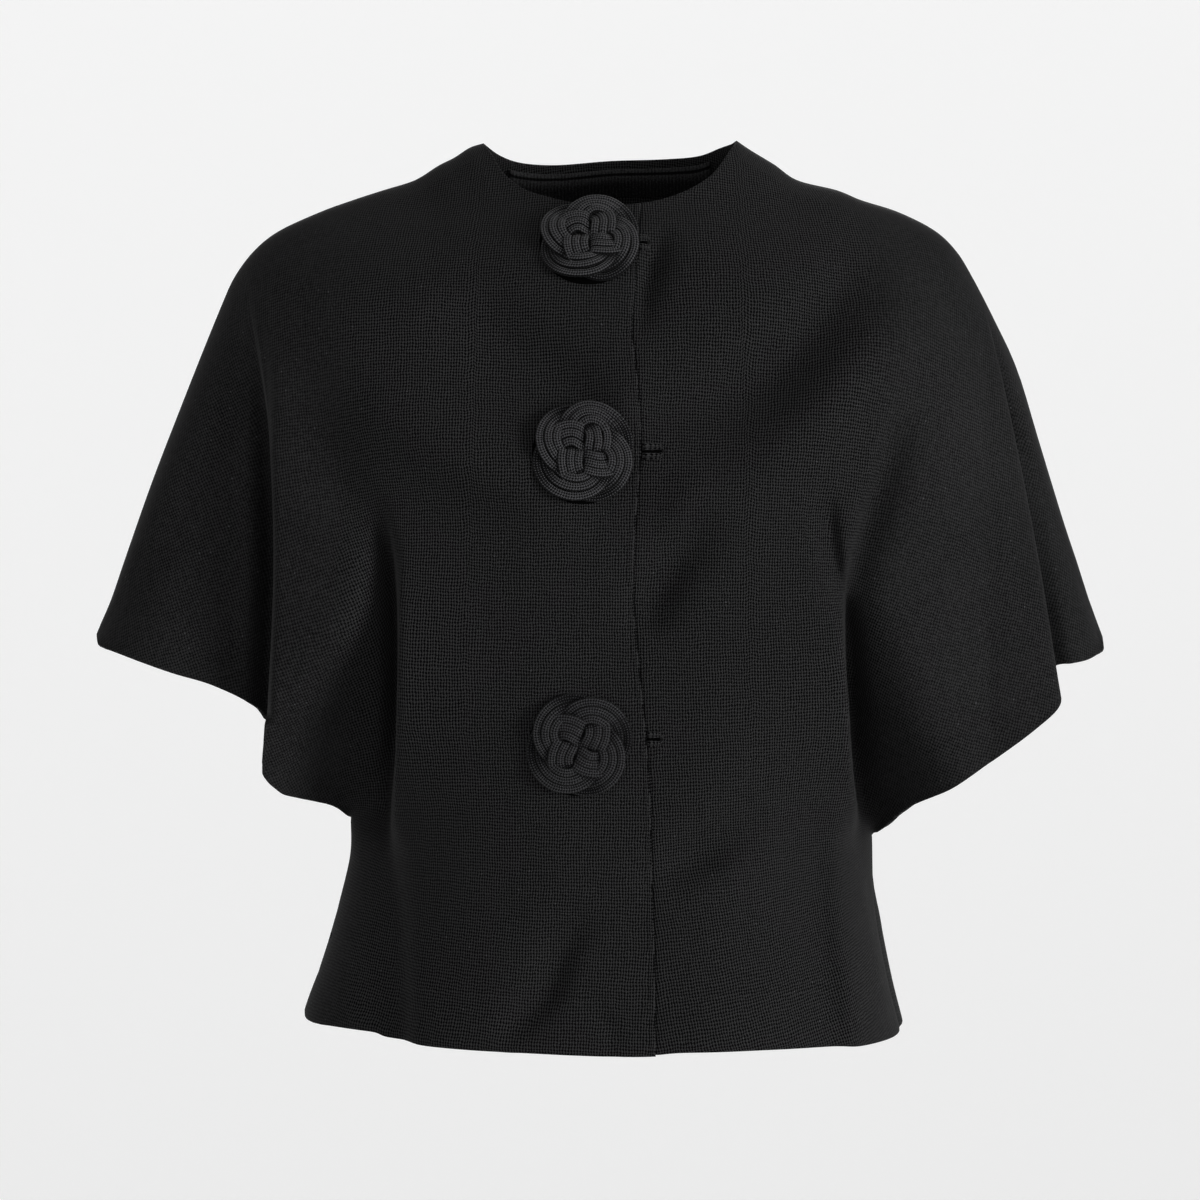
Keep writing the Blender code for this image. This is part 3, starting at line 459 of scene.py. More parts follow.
def row_shares():
    """Rows of a column from the top (0) past the underarm (1) to the hem (2)."""
    even = np.linspace(0.0, 1.0, ROWS_ABOVE + 1)
    above = even - END_CROWD * np.sin(2.0 * np.pi * even) / (2.0 * np.pi)
    above[-1] = 1.0
    below = 1.0 + np.arange(1, ROWS_BELOW + 1) / ROWS_BELOW
    return np.concatenate([above, below])


def neck_stations(sign, face, start):
    """Points on the neck edge from the given place to the neck point of one side."""
    line = NECK_LINES[face]
    if sign < 0:
        line = line[::-1]
    begin = np.interp(start * sign, line[:, 0] * sign, np.arange(len(line)))
    first = np.array([start, np.interp(start * sign, line[:, 0] * sign, line[:, 1])])
    rest = line[int(math.floor(begin)) + 1:]
    return along(np.vstack([first, rest]), np.linspace(0.0, 1.0, NECK_STEPS + 1))


def half_panel(sign, face, start_at):
    """Columns of one half, from its inner edge to the corner of the cuff."""
    shares = row_shares()
    above = shares[shares <= 1.0]
    below = shares[shares > 1.0]
    neck_z = NECK_LINES[face][len(NECK_LINES[face]) // 2, 1]
    neck = neck_stations(sign, face, float(start_at(neck_z)))
    line = OVERARMS[sign]
    lengths = run_lengths(line)
    split = np.interp(SHOULDER_OUT, line[:, 0] * sign, lengths) / lengths[-1]
    shoulder = along(line, np.linspace(0.0, split, SHOULDER_STEPS + 1))
    sections = sleeve_sections(sign, SLEEVE_STEPS)
    sleeve = along(line, split + (1.0 - split) * sections[:, 0])
    tops = np.vstack([neck[:-1], shoulder])
    side = along(SIDE_SEAMS[sign], below - 1.0)
    underarm = SIDE_SEAMS[sign][0]
    inner = start_at(underarm[1])
    columns = []
    for top, even in zip(tops, np.linspace(0.0, 1.0, len(tops))):
        share = 1.0 - (1.0 - even) ** COLUMN_CROWD
        z = top[1] + (underarm[1] - top[1]) * above
        low_x = inner + (underarm[0] - inner) * share
        bend = start_at(z) - tops[0, 0] - (inner - tops[0, 0]) * above
        bend = bend - bend[0] * (1.0 - above)
        x = top[0] + (low_x - top[0]) * above + bend * (1.0 - share) ** 2
        lower_x = start_at(side[:, 1]) + (side[:, 0] - start_at(side[:, 1])) * share
        hem_z = np.interp(lower_x, HEM_LINE[:, 0], HEM_LINE[:, 1])
        level = underarm[1] + (hem_z - underarm[1]) * (below - 1.0)
        lower_z = side[:, 1] if share >= 1.0 else level
        places = np.stack([np.append(x, lower_x), np.append(z, lower_z)], -1)
        columns.append(np.column_stack([places, np.zeros(len(places))]))
    for top, (_, out, z_low, bow, front_in, back_in) in zip(sleeve, sections):
        taken = front_in if face < 0 else back_in
        fade = ease((above - FOLD_START) / (FOLD_FULL - FOLD_START))
        x = top[0] + (sign * out - top[0]) * above + sign * bow * np.sin(np.pi * above)
        z = top[1] + (z_low - top[1]) * above
        columns.append(np.stack([x, z, taken * fade], -1))
    return columns


def lap_shift(x, z, panel):
    """How far a front stands proud of the common surface, or sinks below it, at the lap."""
    past = x - edge_place(z)
    if panel == "right":
        return LAP_LIFT * ease((past + UNDERLAP + LAP_FADE) / LAP_FADE)
    return -LAP_LIFT * ease((LAP_FADE + LAP_PAST - past) / LAP_FADE)


def swell(x, z, face):
    """Sideways swell of the back beyond the side seams."""
    total = np.zeros_like(x)
    if face < 0:
        return total
    for sign, amount in SWELL.items():
        gap, _ = distance(x, z, SIDE_SEAMS[sign])
        angle = np.arccos(1.0 - np.clip(gap / BODY_ROUND, 0.0, 1.0))
        below = ease((SIDE_SEAMS[sign][0, 1] - SWELL_FROM - z) / SWELL_OVER)
        here = sign * amount * np.sin(2.0 * angle) * below
        total += np.where(np.sign(x) == sign, here, 0.0)
    return total


def past_turning(x, z, side):
    """How far above the stitch line of the hem or the cuff a place lies, in millimetres."""
    to_hem = z - np.interp(x, HEM_LINE[:, 0], HEM_LINE[:, 1]) - (HEM_DEPTH - TURN_RUN_OUT / 2)
    for sign in side:
        to_cuff, _ = distance(x, z, CUFF_LINES[sign])
        to_cuff = to_cuff - (CUFF_DEPTH - TURN_RUN_OUT / 2)
        outside = x * sign > abs(SIDE_SEAMS[sign][0, 0]) - 1.0
        to_hem = np.where(outside, np.minimum(to_hem, to_cuff), to_hem)
    return to_hem


def cloth_side(columns, face, panel):
    """The outer side of a panel: its points, its faces, and each corner's place in the list."""
    index = {}
    for c, column in enumerate(columns):
        for r in range(len(column)):
            index[c, r] = len(index)
    x, z, taken = np.vstack(columns).T
    y = surface(x, z, face, taken)
    if panel != "back":
        y = y + face * lap_shift(x, z, panel)
    # the leaning crests fade out towards the seams, where the two sides have to meet
    lean = folds_at(x, z, FOLDS[face])[1] * ease(fullness(x, z) * 2.0 - 0.5)
    points = np.stack([x + swell(x, z, face) + lean, y, z], -1)
    quads = []
    for c in range(len(columns) - 1):
        for r in range(min(len(columns[c]), len(columns[c + 1])) - 1):
            quads.append((index[c, r], index[c + 1, r], index[c + 1, r + 1], index[c, r + 1]))
    return points, np.array(quads), index


def vertex_normals(points, quads):
    """Sum of the face normals at each point, not yet of unit length."""
    across = np.cross(points[quads[:, 2]] - points[quads[:, 0]],
                      points[quads[:, 3]] - points[quads[:, 1]])
    across /= np.maximum(np.linalg.norm(across, axis=1, keepdims=True), 1e-9)
    normals = np.zeros_like(points)
    for k in range(4):
        np.add.at(normals, quads[:, k], across)
    return normals


def rounded_edge(points, normals, wall, quads):
    """Rings of points round the edge of a sheet, its directed edges, and its rim."""
    pairs = set()
    for k in range(4):
        pairs.update(zip(quads[:, k].tolist(), quads[:, (k + 1) % 4].tolist()))
    rim_edges = [pair for pair in sorted(pairs) if (pair[1], pair[0]) not in pairs]
    rim = np.array(sorted({corner for pair in rim_edges for corner in pair}))
    outwards = np.zeros_like(points)
    for start, end in rim_edges:
        side = np.cross(points[end] - points[start], normals[start] + normals[end])
        side /= max(np.linalg.norm(side), 1e-9)
        outwards[start] += side
        outwards[end] += side
    way = outwards[rim]
    way -= normals[rim] * np.sum(way * normals[rim], axis=1, keepdims=True)
    way /= np.maximum(np.linalg.norm(way, axis=1, keepdims=True), 1e-9)
    up = normals[rim]
    thick = wall[rim][:, None]
    rings = []
    for angle, level in ((0.0, EDGE_ROUND), (45.0, EDGE_ROUND), (90.0, EDGE_ROUND),
                         (90.0, thick - EDGE_ROUND), (135.0, thick - EDGE_ROUND),
                         (180.0, thick - EDGE_ROUND)):
        swing = math.radians(angle)
        rings.append(points[rim] - way * EDGE_ROUND - up * level
                     + EDGE_ROUND * (up * math.cos(swing) + way * math.sin(swing)))
    return rings, rim_edges, rim


def coarse_net(sizes):
    """A coarser net over a panel: its columns, its rows, its corners and its faces."""
    count, tall = len(sizes), max(sizes)
    sides = [c for c in range(1, count - 1) if sizes[c] == tall and min(sizes[c - 1:c + 2]) < tall]
    kept = sorted({*range(0, count, COARSE_COLUMN), *sides, count - 1})
    rows = sorted({*range(0, ROWS_ABOVE, COARSE_ROW), *range(ROWS_ABOVE, tall, COARSE_ROW),
                   tall - 1})
    corners = [(c, r) for c in kept for r in rows if r < sizes[c]]
    index = {corner: k for k, corner in enumerate(corners)}
    quads = []
    for c, after in zip(kept, kept[1:]):
        for r, below in zip(rows, rows[1:]):
            around = ((c, r), (after, r), (after, below), (c, below))
            if all(corner in index for corner in around):
                quads.append([index[corner] for corner in around])
    return kept, rows, corners, quads


def unfold(name, points, quads):
    """Flat places of the corners of a net, as near to their true distances as can be."""
    mesh = bpy.data.meshes.new(name)
    mesh.from_pydata(points * MM, [], quads)
    sheet = bpy.data.objects.new(name, mesh)
    bpy.context.scene.collection.objects.link(sheet)
    bpy.ops.object.select_all(action="DESELECT")
    bpy.context.view_layer.objects.active = sheet
    sheet.select_set(True)
    mesh.uv_layers.new(name="grain")
    bpy.ops.object.mode_set(mode="EDIT")
    bpy.ops.mesh.select_all(action="SELECT")
    bpy.ops.uv.unwrap(method="ANGLE_BASED", margin=0.0)
    bpy.ops.object.mode_set(mode="OBJECT")
    corners = np.zeros(len(mesh.loops), dtype=np.int32)
    mesh.loops.foreach_get("vertex_index", corners)
    spread = np.zeros(len(mesh.loops) * 2)
    mesh.uv_layers["grain"].data.foreach_get("uv", spread)
    chart = np.zeros((len(points), 2))
    chart[corners] = spread.reshape(-1, 2)
    bpy.data.objects.remove(sheet, do_unlink=True)
    return chart


def hang_straight(chart, points):
    """Turn and scale flat places until the panel's middle lies as it hangs, in millimetres."""
    x, z = points[:, 0], points[:, 2]
    middle = (np.abs(x) < MIDDLE_HALF) & (z < MIDDLE_TOP) & (z > MIDDLE_FOOT)
    seen = np.stack([x[middle], z[middle]], -1)
    laid = chart[middle]
    seen_middle, laid_middle = seen.mean(0), laid.mean(0)
    turn, _, _, _ = np.linalg.lstsq(laid - laid_middle, seen - seen_middle, rcond=None)
    left, scale, right = np.linalg.svd(turn)
    return (chart - laid_middle) @ (left @ right) * scale.mean() + seen_middle + CHART_START


def flat_grain(name, sizes, points):
    """Lay the panel out flat, as it was cut, with the middle's height upwards."""
    kept, rows, corners, quads = coarse_net(sizes)
    starts = np.concatenate([[0], np.cumsum(sizes)[:-1]])
    coarse = np.array([points[starts[c] + r] for c, r in corners])
    chart = hang_straight(unfold(name + "_flat", coarse, quads), coarse)
    places = np.full((len(sizes), max(sizes), 2), np.nan)
    for (c, r), place in zip(corners, chart):
        places[c, r] = place
    for c in kept:
        known = [r for r in rows if r < sizes[c]]
        for k in range(2):
            places[c, :sizes[c], k] = np.interp(np.arange(sizes[c]), known, places[c, known, k])
    for c, after in zip(kept, kept[1:]):
        for between in range(c + 1, after):
            share = (between - c) / (after - c)
            places[between] = places[c] * (1.0 - share) + places[after] * share
    return np.vstack([places[c, :size] for c, size in enumerate(sizes)])


def close_shell(points, normals, wall, quads):
    """All points and faces of a wall of cloth, and the outer point that each comes from."""
    rings, edges, rim = rounded_edge(points, normals, wall, quads)
    place = {corner: k for k, corner in enumerate(rim)}
    count = len(points)
    outer = points.copy()
    inner = points - normals * wall[:, None]
    # the rims of the two sides are the first and the last ring
    outer[rim] = rings[0]
    inner[rim] = rings[-1]
    every = np.vstack([outer] + rings[1:-1] + [inner])
    inner_start = len(every) - count

    def corner_at(level, corner):
        if level == 0:
            return corner
        if level == len(rings) - 1:
            return inner_start + corner
        return count + (level - 1) * len(rim) + place[corner]

    faces = [tuple(quad) for quad in quads]
    faces += [tuple(inner_start + corner for corner in quad[::-1]) for quad in quads]
    for start, end in edges:
        for level in range(len(rings) - 1):
            faces.append((corner_at(level, end), corner_at(level, start),
                          corner_at(level + 1, start), corner_at(level + 1, end)))
    source = np.concatenate([np.arange(count)] + [rim] * (len(rings) - 2) + [np.arange(count)])
    return every, faces, source


def new_piece(name, points, faces, chart):
    """A smooth piece from its points and its flat chart, both in millimetres."""
    mesh = bpy.data.meshes.new(name)
    mesh.from_pydata(np.asarray(points) * MM, [], faces)
    corners = np.zeros(len(mesh.loops), dtype=np.int32)
    mesh.loops.foreach_get("vertex_index", corners)
    layer = mesh.uv_layers.new(name="grain")
    layer.data.foreach_set("uv", (np.asarray(chart)[corners] * MM).ravel())
    mesh.shade_smooth()
    piece = bpy.data.objects.new(name, mesh)
    bpy.context.scene.collection.objects.link(piece)
    return piece


def carry(piece, name, values):
    """Let a piece carry a value at each of its points, for its finish to read."""
    held = piece.data.attributes.new(name, "FLOAT", "POINT")
    held.data.foreach_set("value", values)


def sew_panel(name, columns, face, panel, seam_keys, sides):
    """Make a panel of cloth: an outer side, an inner side and rounded edges between them."""
    points, quads, index = cloth_side(columns, face, panel)
    x, z, _ = np.vstack(columns).T
    normals = vertex_normals(points, quads)
    if np.sum(normals[:, 1]) * face < 0:
        quads = quads[:, ::-1]
        normals = -normals
    for key in seam_keys:
        normals[index[key], 1] = 0.0
    normals /= np.linalg.norm(normals, axis=1, keepdims=True)
    above_stitch = past_turning(x, z, sides)
    wall = WALL + (TURNED_WALL - WALL) * ease(0.5 - above_stitch / TURN_RUN_OUT)
    grain = flat_grain(name, [len(column) for column in columns], points)
    every, faces, source = close_shell(points, normals, wall, quads)
    piece = new_piece(name, every, faces, grain[source])
    within_edge = edge_place(z) - x if panel == "right" else np.full(len(x), FAR_AWAY)
    # how near the left front lies to the right front's edge: there its finish grooves it and
    # paints the edge's shadow
    near_lap = np.zeros(len(x))
    if panel == "left":
        near_lap = np.maximum(NEAR_LAP - x + edge_place(z), 0.0)
    carry(piece, "above_stitch", above_stitch[source] * MM)
    carry(piece, "brushed", ease((np.abs(x) - BRUSHED_FROM) / BRUSHED_OVER)[source])
    carry(piece, "from_edge", within_edge[source] * MM)
    carry(piece, "near_lap", near_lap[source] * MM)
    return piece


def seam_corners(columns):
    """The corners of a half panel that lie on its overarm seam and its side seam."""
    side_column = NECK_STEPS + SHOULDER_STEPS
    keys = [(c, 0) for c in range(NECK_STEPS, len(columns))]
    keys += [(side_column, r) for r in range(ROWS_ABOVE, len(columns[side_column]))]
    return keys


class Value:
    """A number that varies over a surface. Sums and products of it add Math nodes."""

    def __init__(self, finish, socket):
        self.finish = finish
        self.socket = socket

    def math(self, operation, first, second=None):
        inputs = {0: first} if second is None else {0: first, 1: second}
        made = self.finish.add("ShaderNodeMath", {"operation": operation}, inputs)
        return Value(self.finish, made.outputs[0])

    def __add__(self, other):
        return self.math("ADD", self, other)

    __radd__ = __add__

    def __sub__(self, other):
        return self.math("SUBTRACT", self, other)

    def __rsub__(self, other):
        return self.math("SUBTRACT", other, self)

    def __mul__(self, other):
        return self.math("MULTIPLY", self, other)

    __rmul__ = __mul__

    def wave(self):
        return self.math("COSINE", self * (2.0 * math.pi))

    def magnitude(self):
        return self.math("ABSOLUTE", self)

    def whole(self):
        return self.math("ROUND", self)

    def step(self, low, high):
        """0 below low, 1 above high, smooth between."""
        made = self.finish.add("ShaderNodeMapRange", {"interpolation_type": "SMOOTHSTEP"},
                               {"Value": self, "From Min": low, "From Max": high})
        return Value(self.finish, made.outputs["Result"])


class Finish:
    """A material being mixed."""

    def __init__(self, name):
        self.material = bpy.data.materials.new(name)
        self.material.use_nodes = True
        self.nodes = self.material.node_tree.nodes
        self.links = self.material.node_tree.links
        self.shader = self.nodes["Principled BSDF"]

    def add(self, kind, settings=None, inputs=None):
        node = self.nodes.new(kind)
        for key, setting in (settings or {}).items():
            setattr(node, key, setting)
        for key, given in (inputs or {}).items():
            self.give(node.inputs[key], given)
        return node

    def give(self, socket, given):
        if isinstance(given, Value):
            given = given.socket
        if isinstance(given, bpy.types.NodeSocket):
            self.links.new(given, socket)
        else:
            socket.default_value = given

    def value(self, node, output=0):
        return Value(self, node.outputs[output])

    def mix(self, share, first, second):
        """Blend of two colours."""
        made = self.add("ShaderNodeMix", {"data_type": "RGBA"},
                        {"Factor": share, 6: first, 7: second})
        return made.outputs[2]

    def grain(self):
        """The piece's own chart, and its two values across and along the grain."""
        chart = self.add("ShaderNodeUVMap", {"uv_map": "grain"}).outputs["UV"]
        parts = self.add("ShaderNodeSeparateXYZ", None, {0: chart})
        return chart, self.value(parts, "X"), self.value(parts, "Y")

    def noise(self, where, scale, detail, rough=0.5, space="2D"):
        """Cloudy noise from 0 to 1."""
        made = self.add("ShaderNodeTexNoise", {"noise_dimensions": space},
                        {"Vector": where, "Scale": scale, "Detail": detail,
                         "Roughness": rough})
        return self.value(made)

    def carried(self, name):
        """A value that the mesh carries at its points."""
        return self.value(self.add("ShaderNodeAttribute", {"attribute_name": name}), "Fac")

    def close(self, colour, height, relief, gloss):
        """Give the shader its colour, its relief and its gloss."""
        bump = self.add("ShaderNodeBump", None,
                        {"Height": height, "Strength": 1.0, "Distance": relief})
        self.give(self.shader.inputs["Base Color"], colour)
        self.give(self.shader.inputs["Normal"], bump.outputs["Normal"])
        for name, amount in gloss.items():
            self.shader.inputs[name].default_value = amount
        return self.material


WALE = 1.45 * MM
COURSE = 1.75 * MM
WALE_SHARE = 1.2
SWAY = 0.9
SWAY_SCALE = 60.0
SHAKE = 0.4
SHAKE_SCALE = 330.0
NAP_SCALE = 2000.0
BLOT_SCALE = 420.0
PATCH_SCALE = 16.0
STITCH_CONTRAST = 5.2
BRUSHED_LOSS = 0.84
# how far each of these shows in the colour or the height, and how far less where brushed
UNEVEN_SHOWS = (0.35, 0.15)
NAP_SHOWS = (1.2, 0.3)
BLOTS_SHOW = (0.5, 0.3)
PATCHES_SHOW = 0.25
NAP_HEIGHT = (0.5, 0.3)
BLOTS_HEIGHT = (0.3, 0.15)
GROOVE_LIGHT = 0.22
SHADE_DARK = 0.1
TACK_DARK = 0.2
# painted shadow of the right front's edge, darkening the left front beside it
PRESS_SHADOW_DARK = 1.1
GROOVE_DEEP = 0.4
TACK_DEEP = 0.8
PRESS_DEEP = 0.8
STITCH_HALF = 1.1 * MM
SHADE_ABOVE = 2.4 * MM
SHADE_HALF = 2.0 * MM
TACK_INSIDE = 3.4 * MM
TACK_HALF = 0.9 * MM
PRESS_LOW = 8.7 * MM
PRESS_HIGH = 9.8 * MM
LINT_LOW = 0.9984
LINT_HIGH = 0.9988
LINT_BRUSHED = 0.002
LINT_ON_HEADS = (0.82, 0.94)
LINT_COLOUR = (0.04, 0.04, 0.042, 1.0)
KNIT_RELIEF = 0.24 * MM
KNIT_GLOSS = {"Roughness": 0.92, "Specular IOR Level": 0.02, "Sheen Weight": 0.035,
              "Sheen Roughness": 0.35}


def knit_finish(name, dark, light, wale_apart=WALE, course_apart=COURSE):
    """Black double knit seen close: rows of round stitch heads over a dark ground."""
    cloth = Finish(name)
    chart, across, down = cloth.grain()
    sway = (cloth.noise(chart, SWAY_SCALE, 1.0) - 0.5) * SWAY
    shake = (cloth.noise(chart, SHAKE_SCALE, 0.0) - 0.5) * SHAKE
    wale = across * (1.0 / wale_apart) + sway + shake
    course = down * (1.0 / course_apart) + sway - shake
    heads = (wale.wave() * WALE_SHARE + course.wave()) * 0.25 + 0.5
    cell = cloth.add("ShaderNodeCombineXYZ", None, {0: wale.whole(), 1: course.whole()})
    spread = cloth.value(cloth.add("ShaderNodeTexWhiteNoise", {"noise_dimensions": "2D"},
                                   {"Vector": cell.outputs[0]}), "Value")
    uneven = spread - 0.5
    nap = cloth.noise(chart, NAP_SCALE, 2.0, 0.8)
    blots = cloth.noise(chart, BLOT_SCALE, 1.0)
    patches = cloth.noise(chart, PATCH_SCALE, 4.0)
    brushed = cloth.carried("brushed")
    clear = 1.0 - brushed * BRUSHED_LOSS

    def shown(part, amounts):
        return part * (amounts[0] - brushed * amounts[1])

    # the sewing: the stitch line of a turned edge, the shade above it, the tack inside the front
    # edge, and the pressed strip of the left front beside the lap, whose bump is a groove and
    # whose darkening is painted shadow of the lap's edge
    stitch_line = cloth.carried("above_stitch")
    groove = 1.0 - stitch_line.magnitude().step(0.0, STITCH_HALF)
    shade = 1.0 - (stitch_line - SHADE_ABOVE).magnitude().step(0.0, SHADE_HALF)
    edge = cloth.carried("from_edge")
    tack = 1.0 - (edge - TACK_INSIDE).magnitude().step(0.0, TACK_HALF)
    pressed_and_shadow = cloth.carried("near_lap").step(PRESS_LOW, PRESS_HIGH)
    # what each of them adds to the lightness of the yarn, painted shade and shadow among them
    lift = (heads - 0.5) * clear * STITCH_CONTRAST + shown(uneven, UNEVEN_SHOWS)
    lift = lift + shown(nap - 0.5, NAP_SHOWS) + shown(blots - 0.5, BLOTS_SHOW)
    lift = lift + (patches - 0.5) * PATCHES_SHOW + 0.5 + groove * clear * GROOVE_LIGHT
    lift = lift - shade * clear * SHADE_DARK - tack * TACK_DARK - pressed_and_shadow * PRESS_SHADOW_DARK
    colour = cloth.mix(lift.step(-0.1, 1.1), (*dark, 1.0), (*light, 1.0))
    lint = (spread + brushed * LINT_BRUSHED).step(LINT_LOW, LINT_HIGH)
    lint = lint * heads.step(*LINT_ON_HEADS)
    colour = cloth.mix(lint, colour, LINT_COLOUR)
    height = heads * clear + shown(nap, NAP_HEIGHT) + shown(blots, BLOTS_HEIGHT)
    height = height - groove * clear * GROOVE_DEEP - tack * TACK_DEEP - pressed_and_shadow * PRESS_DEEP
    return cloth.close(colour, height, KNIT_RELIEF, KNIT_GLOSS)


knit = knit_finish("black_double_knit", (0.0012, 0.0012, 0.0013), (0.0168, 0.0168, 0.0171))

columns = half_panel(-1, -1, edge_place)
right_front = sew_panel("front_right_shell", columns, -1, "right", seam_corners(columns), (-1,))
right_front.data.materials.append(knit)
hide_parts("right_front")
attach(right_front, "root")


# ==== Left front ====
# The other half of the front, in the same knit. It runs on 44 mm behind the right one, and is
# a little shorter there so that its edges stay hidden.

TUCK_NECK_SHARE = 1.0 / 6.0
TUCK_HEM_FROM = 1.5
TUCK_HEM_SHARE = 0.5

columns = half_panel(1, -1, lambda z: edge_place(z) - UNDERLAP)
for column in columns:
    hidden = ease((edge_place(column[:, 1]) - column[:, 0]) / TUCK_RUN)
    rows = row_shares()[:len(column)]
    near_neck = ease(1.0 - rows / TUCK_NECK_SHARE)
    near_hem = ease((rows - TUCK_HEM_FROM) / TUCK_HEM_SHARE)
    column[:, 1] += hidden * (TUCK_HEM * near_hem - TUCK_NECK * near_neck)
left_front = sew_panel("front_left_shell", columns, -1, "left", seam_corners(columns), (1,))
left_front.data.materials.append(knit)
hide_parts("left_front")
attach(left_front, "root")


# ==== Back ====
# One piece of the same knit from cuff to cuff, sewn to the fronts along the overarm and the
# side seams.

right_half, left_half = (half_panel(sign, 1, lambda z: 0.0 * z) for sign in (-1, 1))
last = len(right_half) - 1
keys = []
for c, r in seam_corners(right_half):
    keys += [(last - c, r), (last + c, r)]
back = sew_panel("back_shell", right_half[::-1] + left_half[1:], 1, "back", keys, (-1, 1))
back.data.materials.append(knit)
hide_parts("back")
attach(back, "root")


# ==== Back neck band ====
# A narrow strip of the same yarn in a fine rib, laid inside the back neck over the turned
# edge and felled down along both of its long edges.

BAND_DROP = 4.0
BAND_REACH = 58.0
BAND_STEPS = 70
BAND_START = -(WALL + 0.8)
# drop below the band's top and lift into the neck, round the strip
BAND_SECTION = (
    (0.5, 0.0), (0.1, -0.4), (0.0, -0.9), (0.2, -1.4), (0.8, -1.75), (4.0, -1.8), (7.5, -1.65),
    (11.0, -1.8), (14.2, -1.75), (14.8, -1.4), (15.0, -0.9), (14.9, -0.4), (14.5, 0.0),
    (7.5, 0.0))


def sweep_rings(rings, closed):
    """Faces between rings of points, and over both ends of an open row of rings."""
    count, around = len(rings), len(rings[0])
    faces = []
    for k in range(count if closed else count - 1):
        for j in range(around):
            a, b = k * around + j, k * around + (j + 1) % around
            c = (k + 1) % count * around
            faces.append((a, b, c + (j + 1) % around, c + j))
    if not closed:
        faces.append(tuple(range(around))[::-1])
        faces.append(tuple(range((count - 1) * around, count * around)))
    return faces


def close_form(name, points, faces, chart):
    """A closed piece, its faces turned outwards."""
    piece = new_piece(name, points, faces, chart)
    work = bmesh.new()
    work.from_mesh(piece.data)
    bmesh.ops.recalc_face_normals(work, faces=work.faces)
    work.to_mesh(piece.data)
    work.free()
    return piece


def dress_in_two(piece, first, second, first_faces):
    """Give the first faces of a piece one material and the others a second one."""
    piece.data.materials.append(first)
    piece.data.materials.append(second)
    for face in piece.data.polygons:
        face.material_index = 0 if face.index < first_faces else 1


drops, lifts = np.array(BAND_SECTION).T
x = np.repeat(np.linspace(-BAND_REACH, BAND_REACH, BAND_STEPS), len(drops))
drops = np.tile(drops, BAND_STEPS)
lifts = np.tile(lifts, BAND_STEPS) + BAND_START
top = np.interp(x, NECK_LINES[1][:, 0], NECK_LINES[1][:, 1]) - BAND_DROP
spots, _ = on_surface(x, top - drops, 1, lifts[:, None])
rings = np.split(spots, BAND_STEPS)
chart = np.stack([x, -drops], -1)


RIB_APART = 2.0 * MM
RIBS_SHOW = 0.22
RIBS_HEIGHT = 0.6
BAND_NAP_SCALE = 1100.0
BAND_NAP_SHOWS = 1.3
BAND_NAP_HEIGHT = 0.5
BAND_LIGHT = 0.08
FELLED_AT = 2.6
FELLED_HALF = (0.3, 1.0)
FELLED_DARK = 0.7
# the band's upper part is painted lighter: painted light, leaving its lower part in painted shade
UPPER_LIT_FROM = 9.0
UPPER_LIT_OVER = 6.0
UPPER_PAINTED_LIGHT = 0.4
RIB_RELIEF = 0.4 * MM
RIB_DARK = (0.0006, 0.0006, 0.0007, 1.0)
RIB_LIGHT = (0.0230, 0.0230, 0.0235, 1.0)
RIB_GLOSS = {"Roughness": 0.92, "Specular IOR Level": 0.03, "Sheen Weight": 0.02}


def ribbed_finish():
    """The band's knit, turned so its fine ribs run up and down, felled along both edges, painted
    lighter on its upper part as painted light, so that its lower part reads as in painted shade.
    """
    ribbed = Finish("black_ribbed_band")
    chart, across, up = ribbed.grain()
    ribs = (across * (1.0 / RIB_APART)).wave() * 0.5 + 0.5
    up = up * (1.0 / MM)
    nap = ribbed.noise(chart, BAND_NAP_SCALE, 2.0, 0.7)
    felled = 1.0 - (up + FELLED_AT).magnitude().step(*FELLED_HALF)
    # painted light over the upper part of the band; below it the band stays darker as painted
    # shade
    upper_lit = (up + UPPER_LIT_FROM).step(0.0, UPPER_LIT_OVER)
    lift = ribs * RIBS_SHOW + (nap - 0.5) * BAND_NAP_SHOWS + BAND_LIGHT
    lift = lift - felled * FELLED_DARK + upper_lit * UPPER_PAINTED_LIGHT
    colour = ribbed.mix(lift.step(0.0, 1.0), RIB_DARK, RIB_LIGHT)
    height = ribs * RIBS_HEIGHT + nap * BAND_NAP_HEIGHT - felled
    return ribbed.close(colour, height, RIB_RELIEF, RIB_GLOSS)


band = close_form("neck_band_strip", spots, sweep_rings(rings, False), chart)
band.data.materials.append(ribbed_finish())
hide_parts("back_neck_band")
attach(band, "root")


# ==== Buttonholes ====
# Each is bound with a narrow lip of the knit above and below the slit. Only their outer ends
# show, past the placket.

HOLE_LEVELS = (-35.0, -146.0, -298.5)
HOLE_REACH = (7.0, 13.5, 10.0)
HOLE_START = 0.6
LIP_LIFT = 1.3
LIP_HALF_HIGH = 1.9
LIP_HALF_THICK = 0.9
LIP_APART = 2.5
LIP_SIDES = 10
LIP_STEPS = 40
LIP_BLUNT = 1.6
LIP_OPEN = 2.2
LIP_SLIM = 0.55
LIP_GRAIN = (0.3, 0.8)
# the dark plate inside the slit, which is painted shade
SLIT_HALF_HIGH = 0.6
SLIT_FLOOR = 0.2
SLIT_LIFT = 1.3
SLIT_SHORT = 3.4
SLIT_STEPS = 6
FELT_DARK = (0.0003, 0.0003, 0.0003, 1.0)
FELT_LIGHT = (0.0014, 0.0014, 0.0014, 1.0)
FELT_SCALE = 900.0
FELT_RELIEF = 0.2 * MM
FELT_GLOSS = {"Roughness": 1.0, "Specular IOR Level": 0.0}


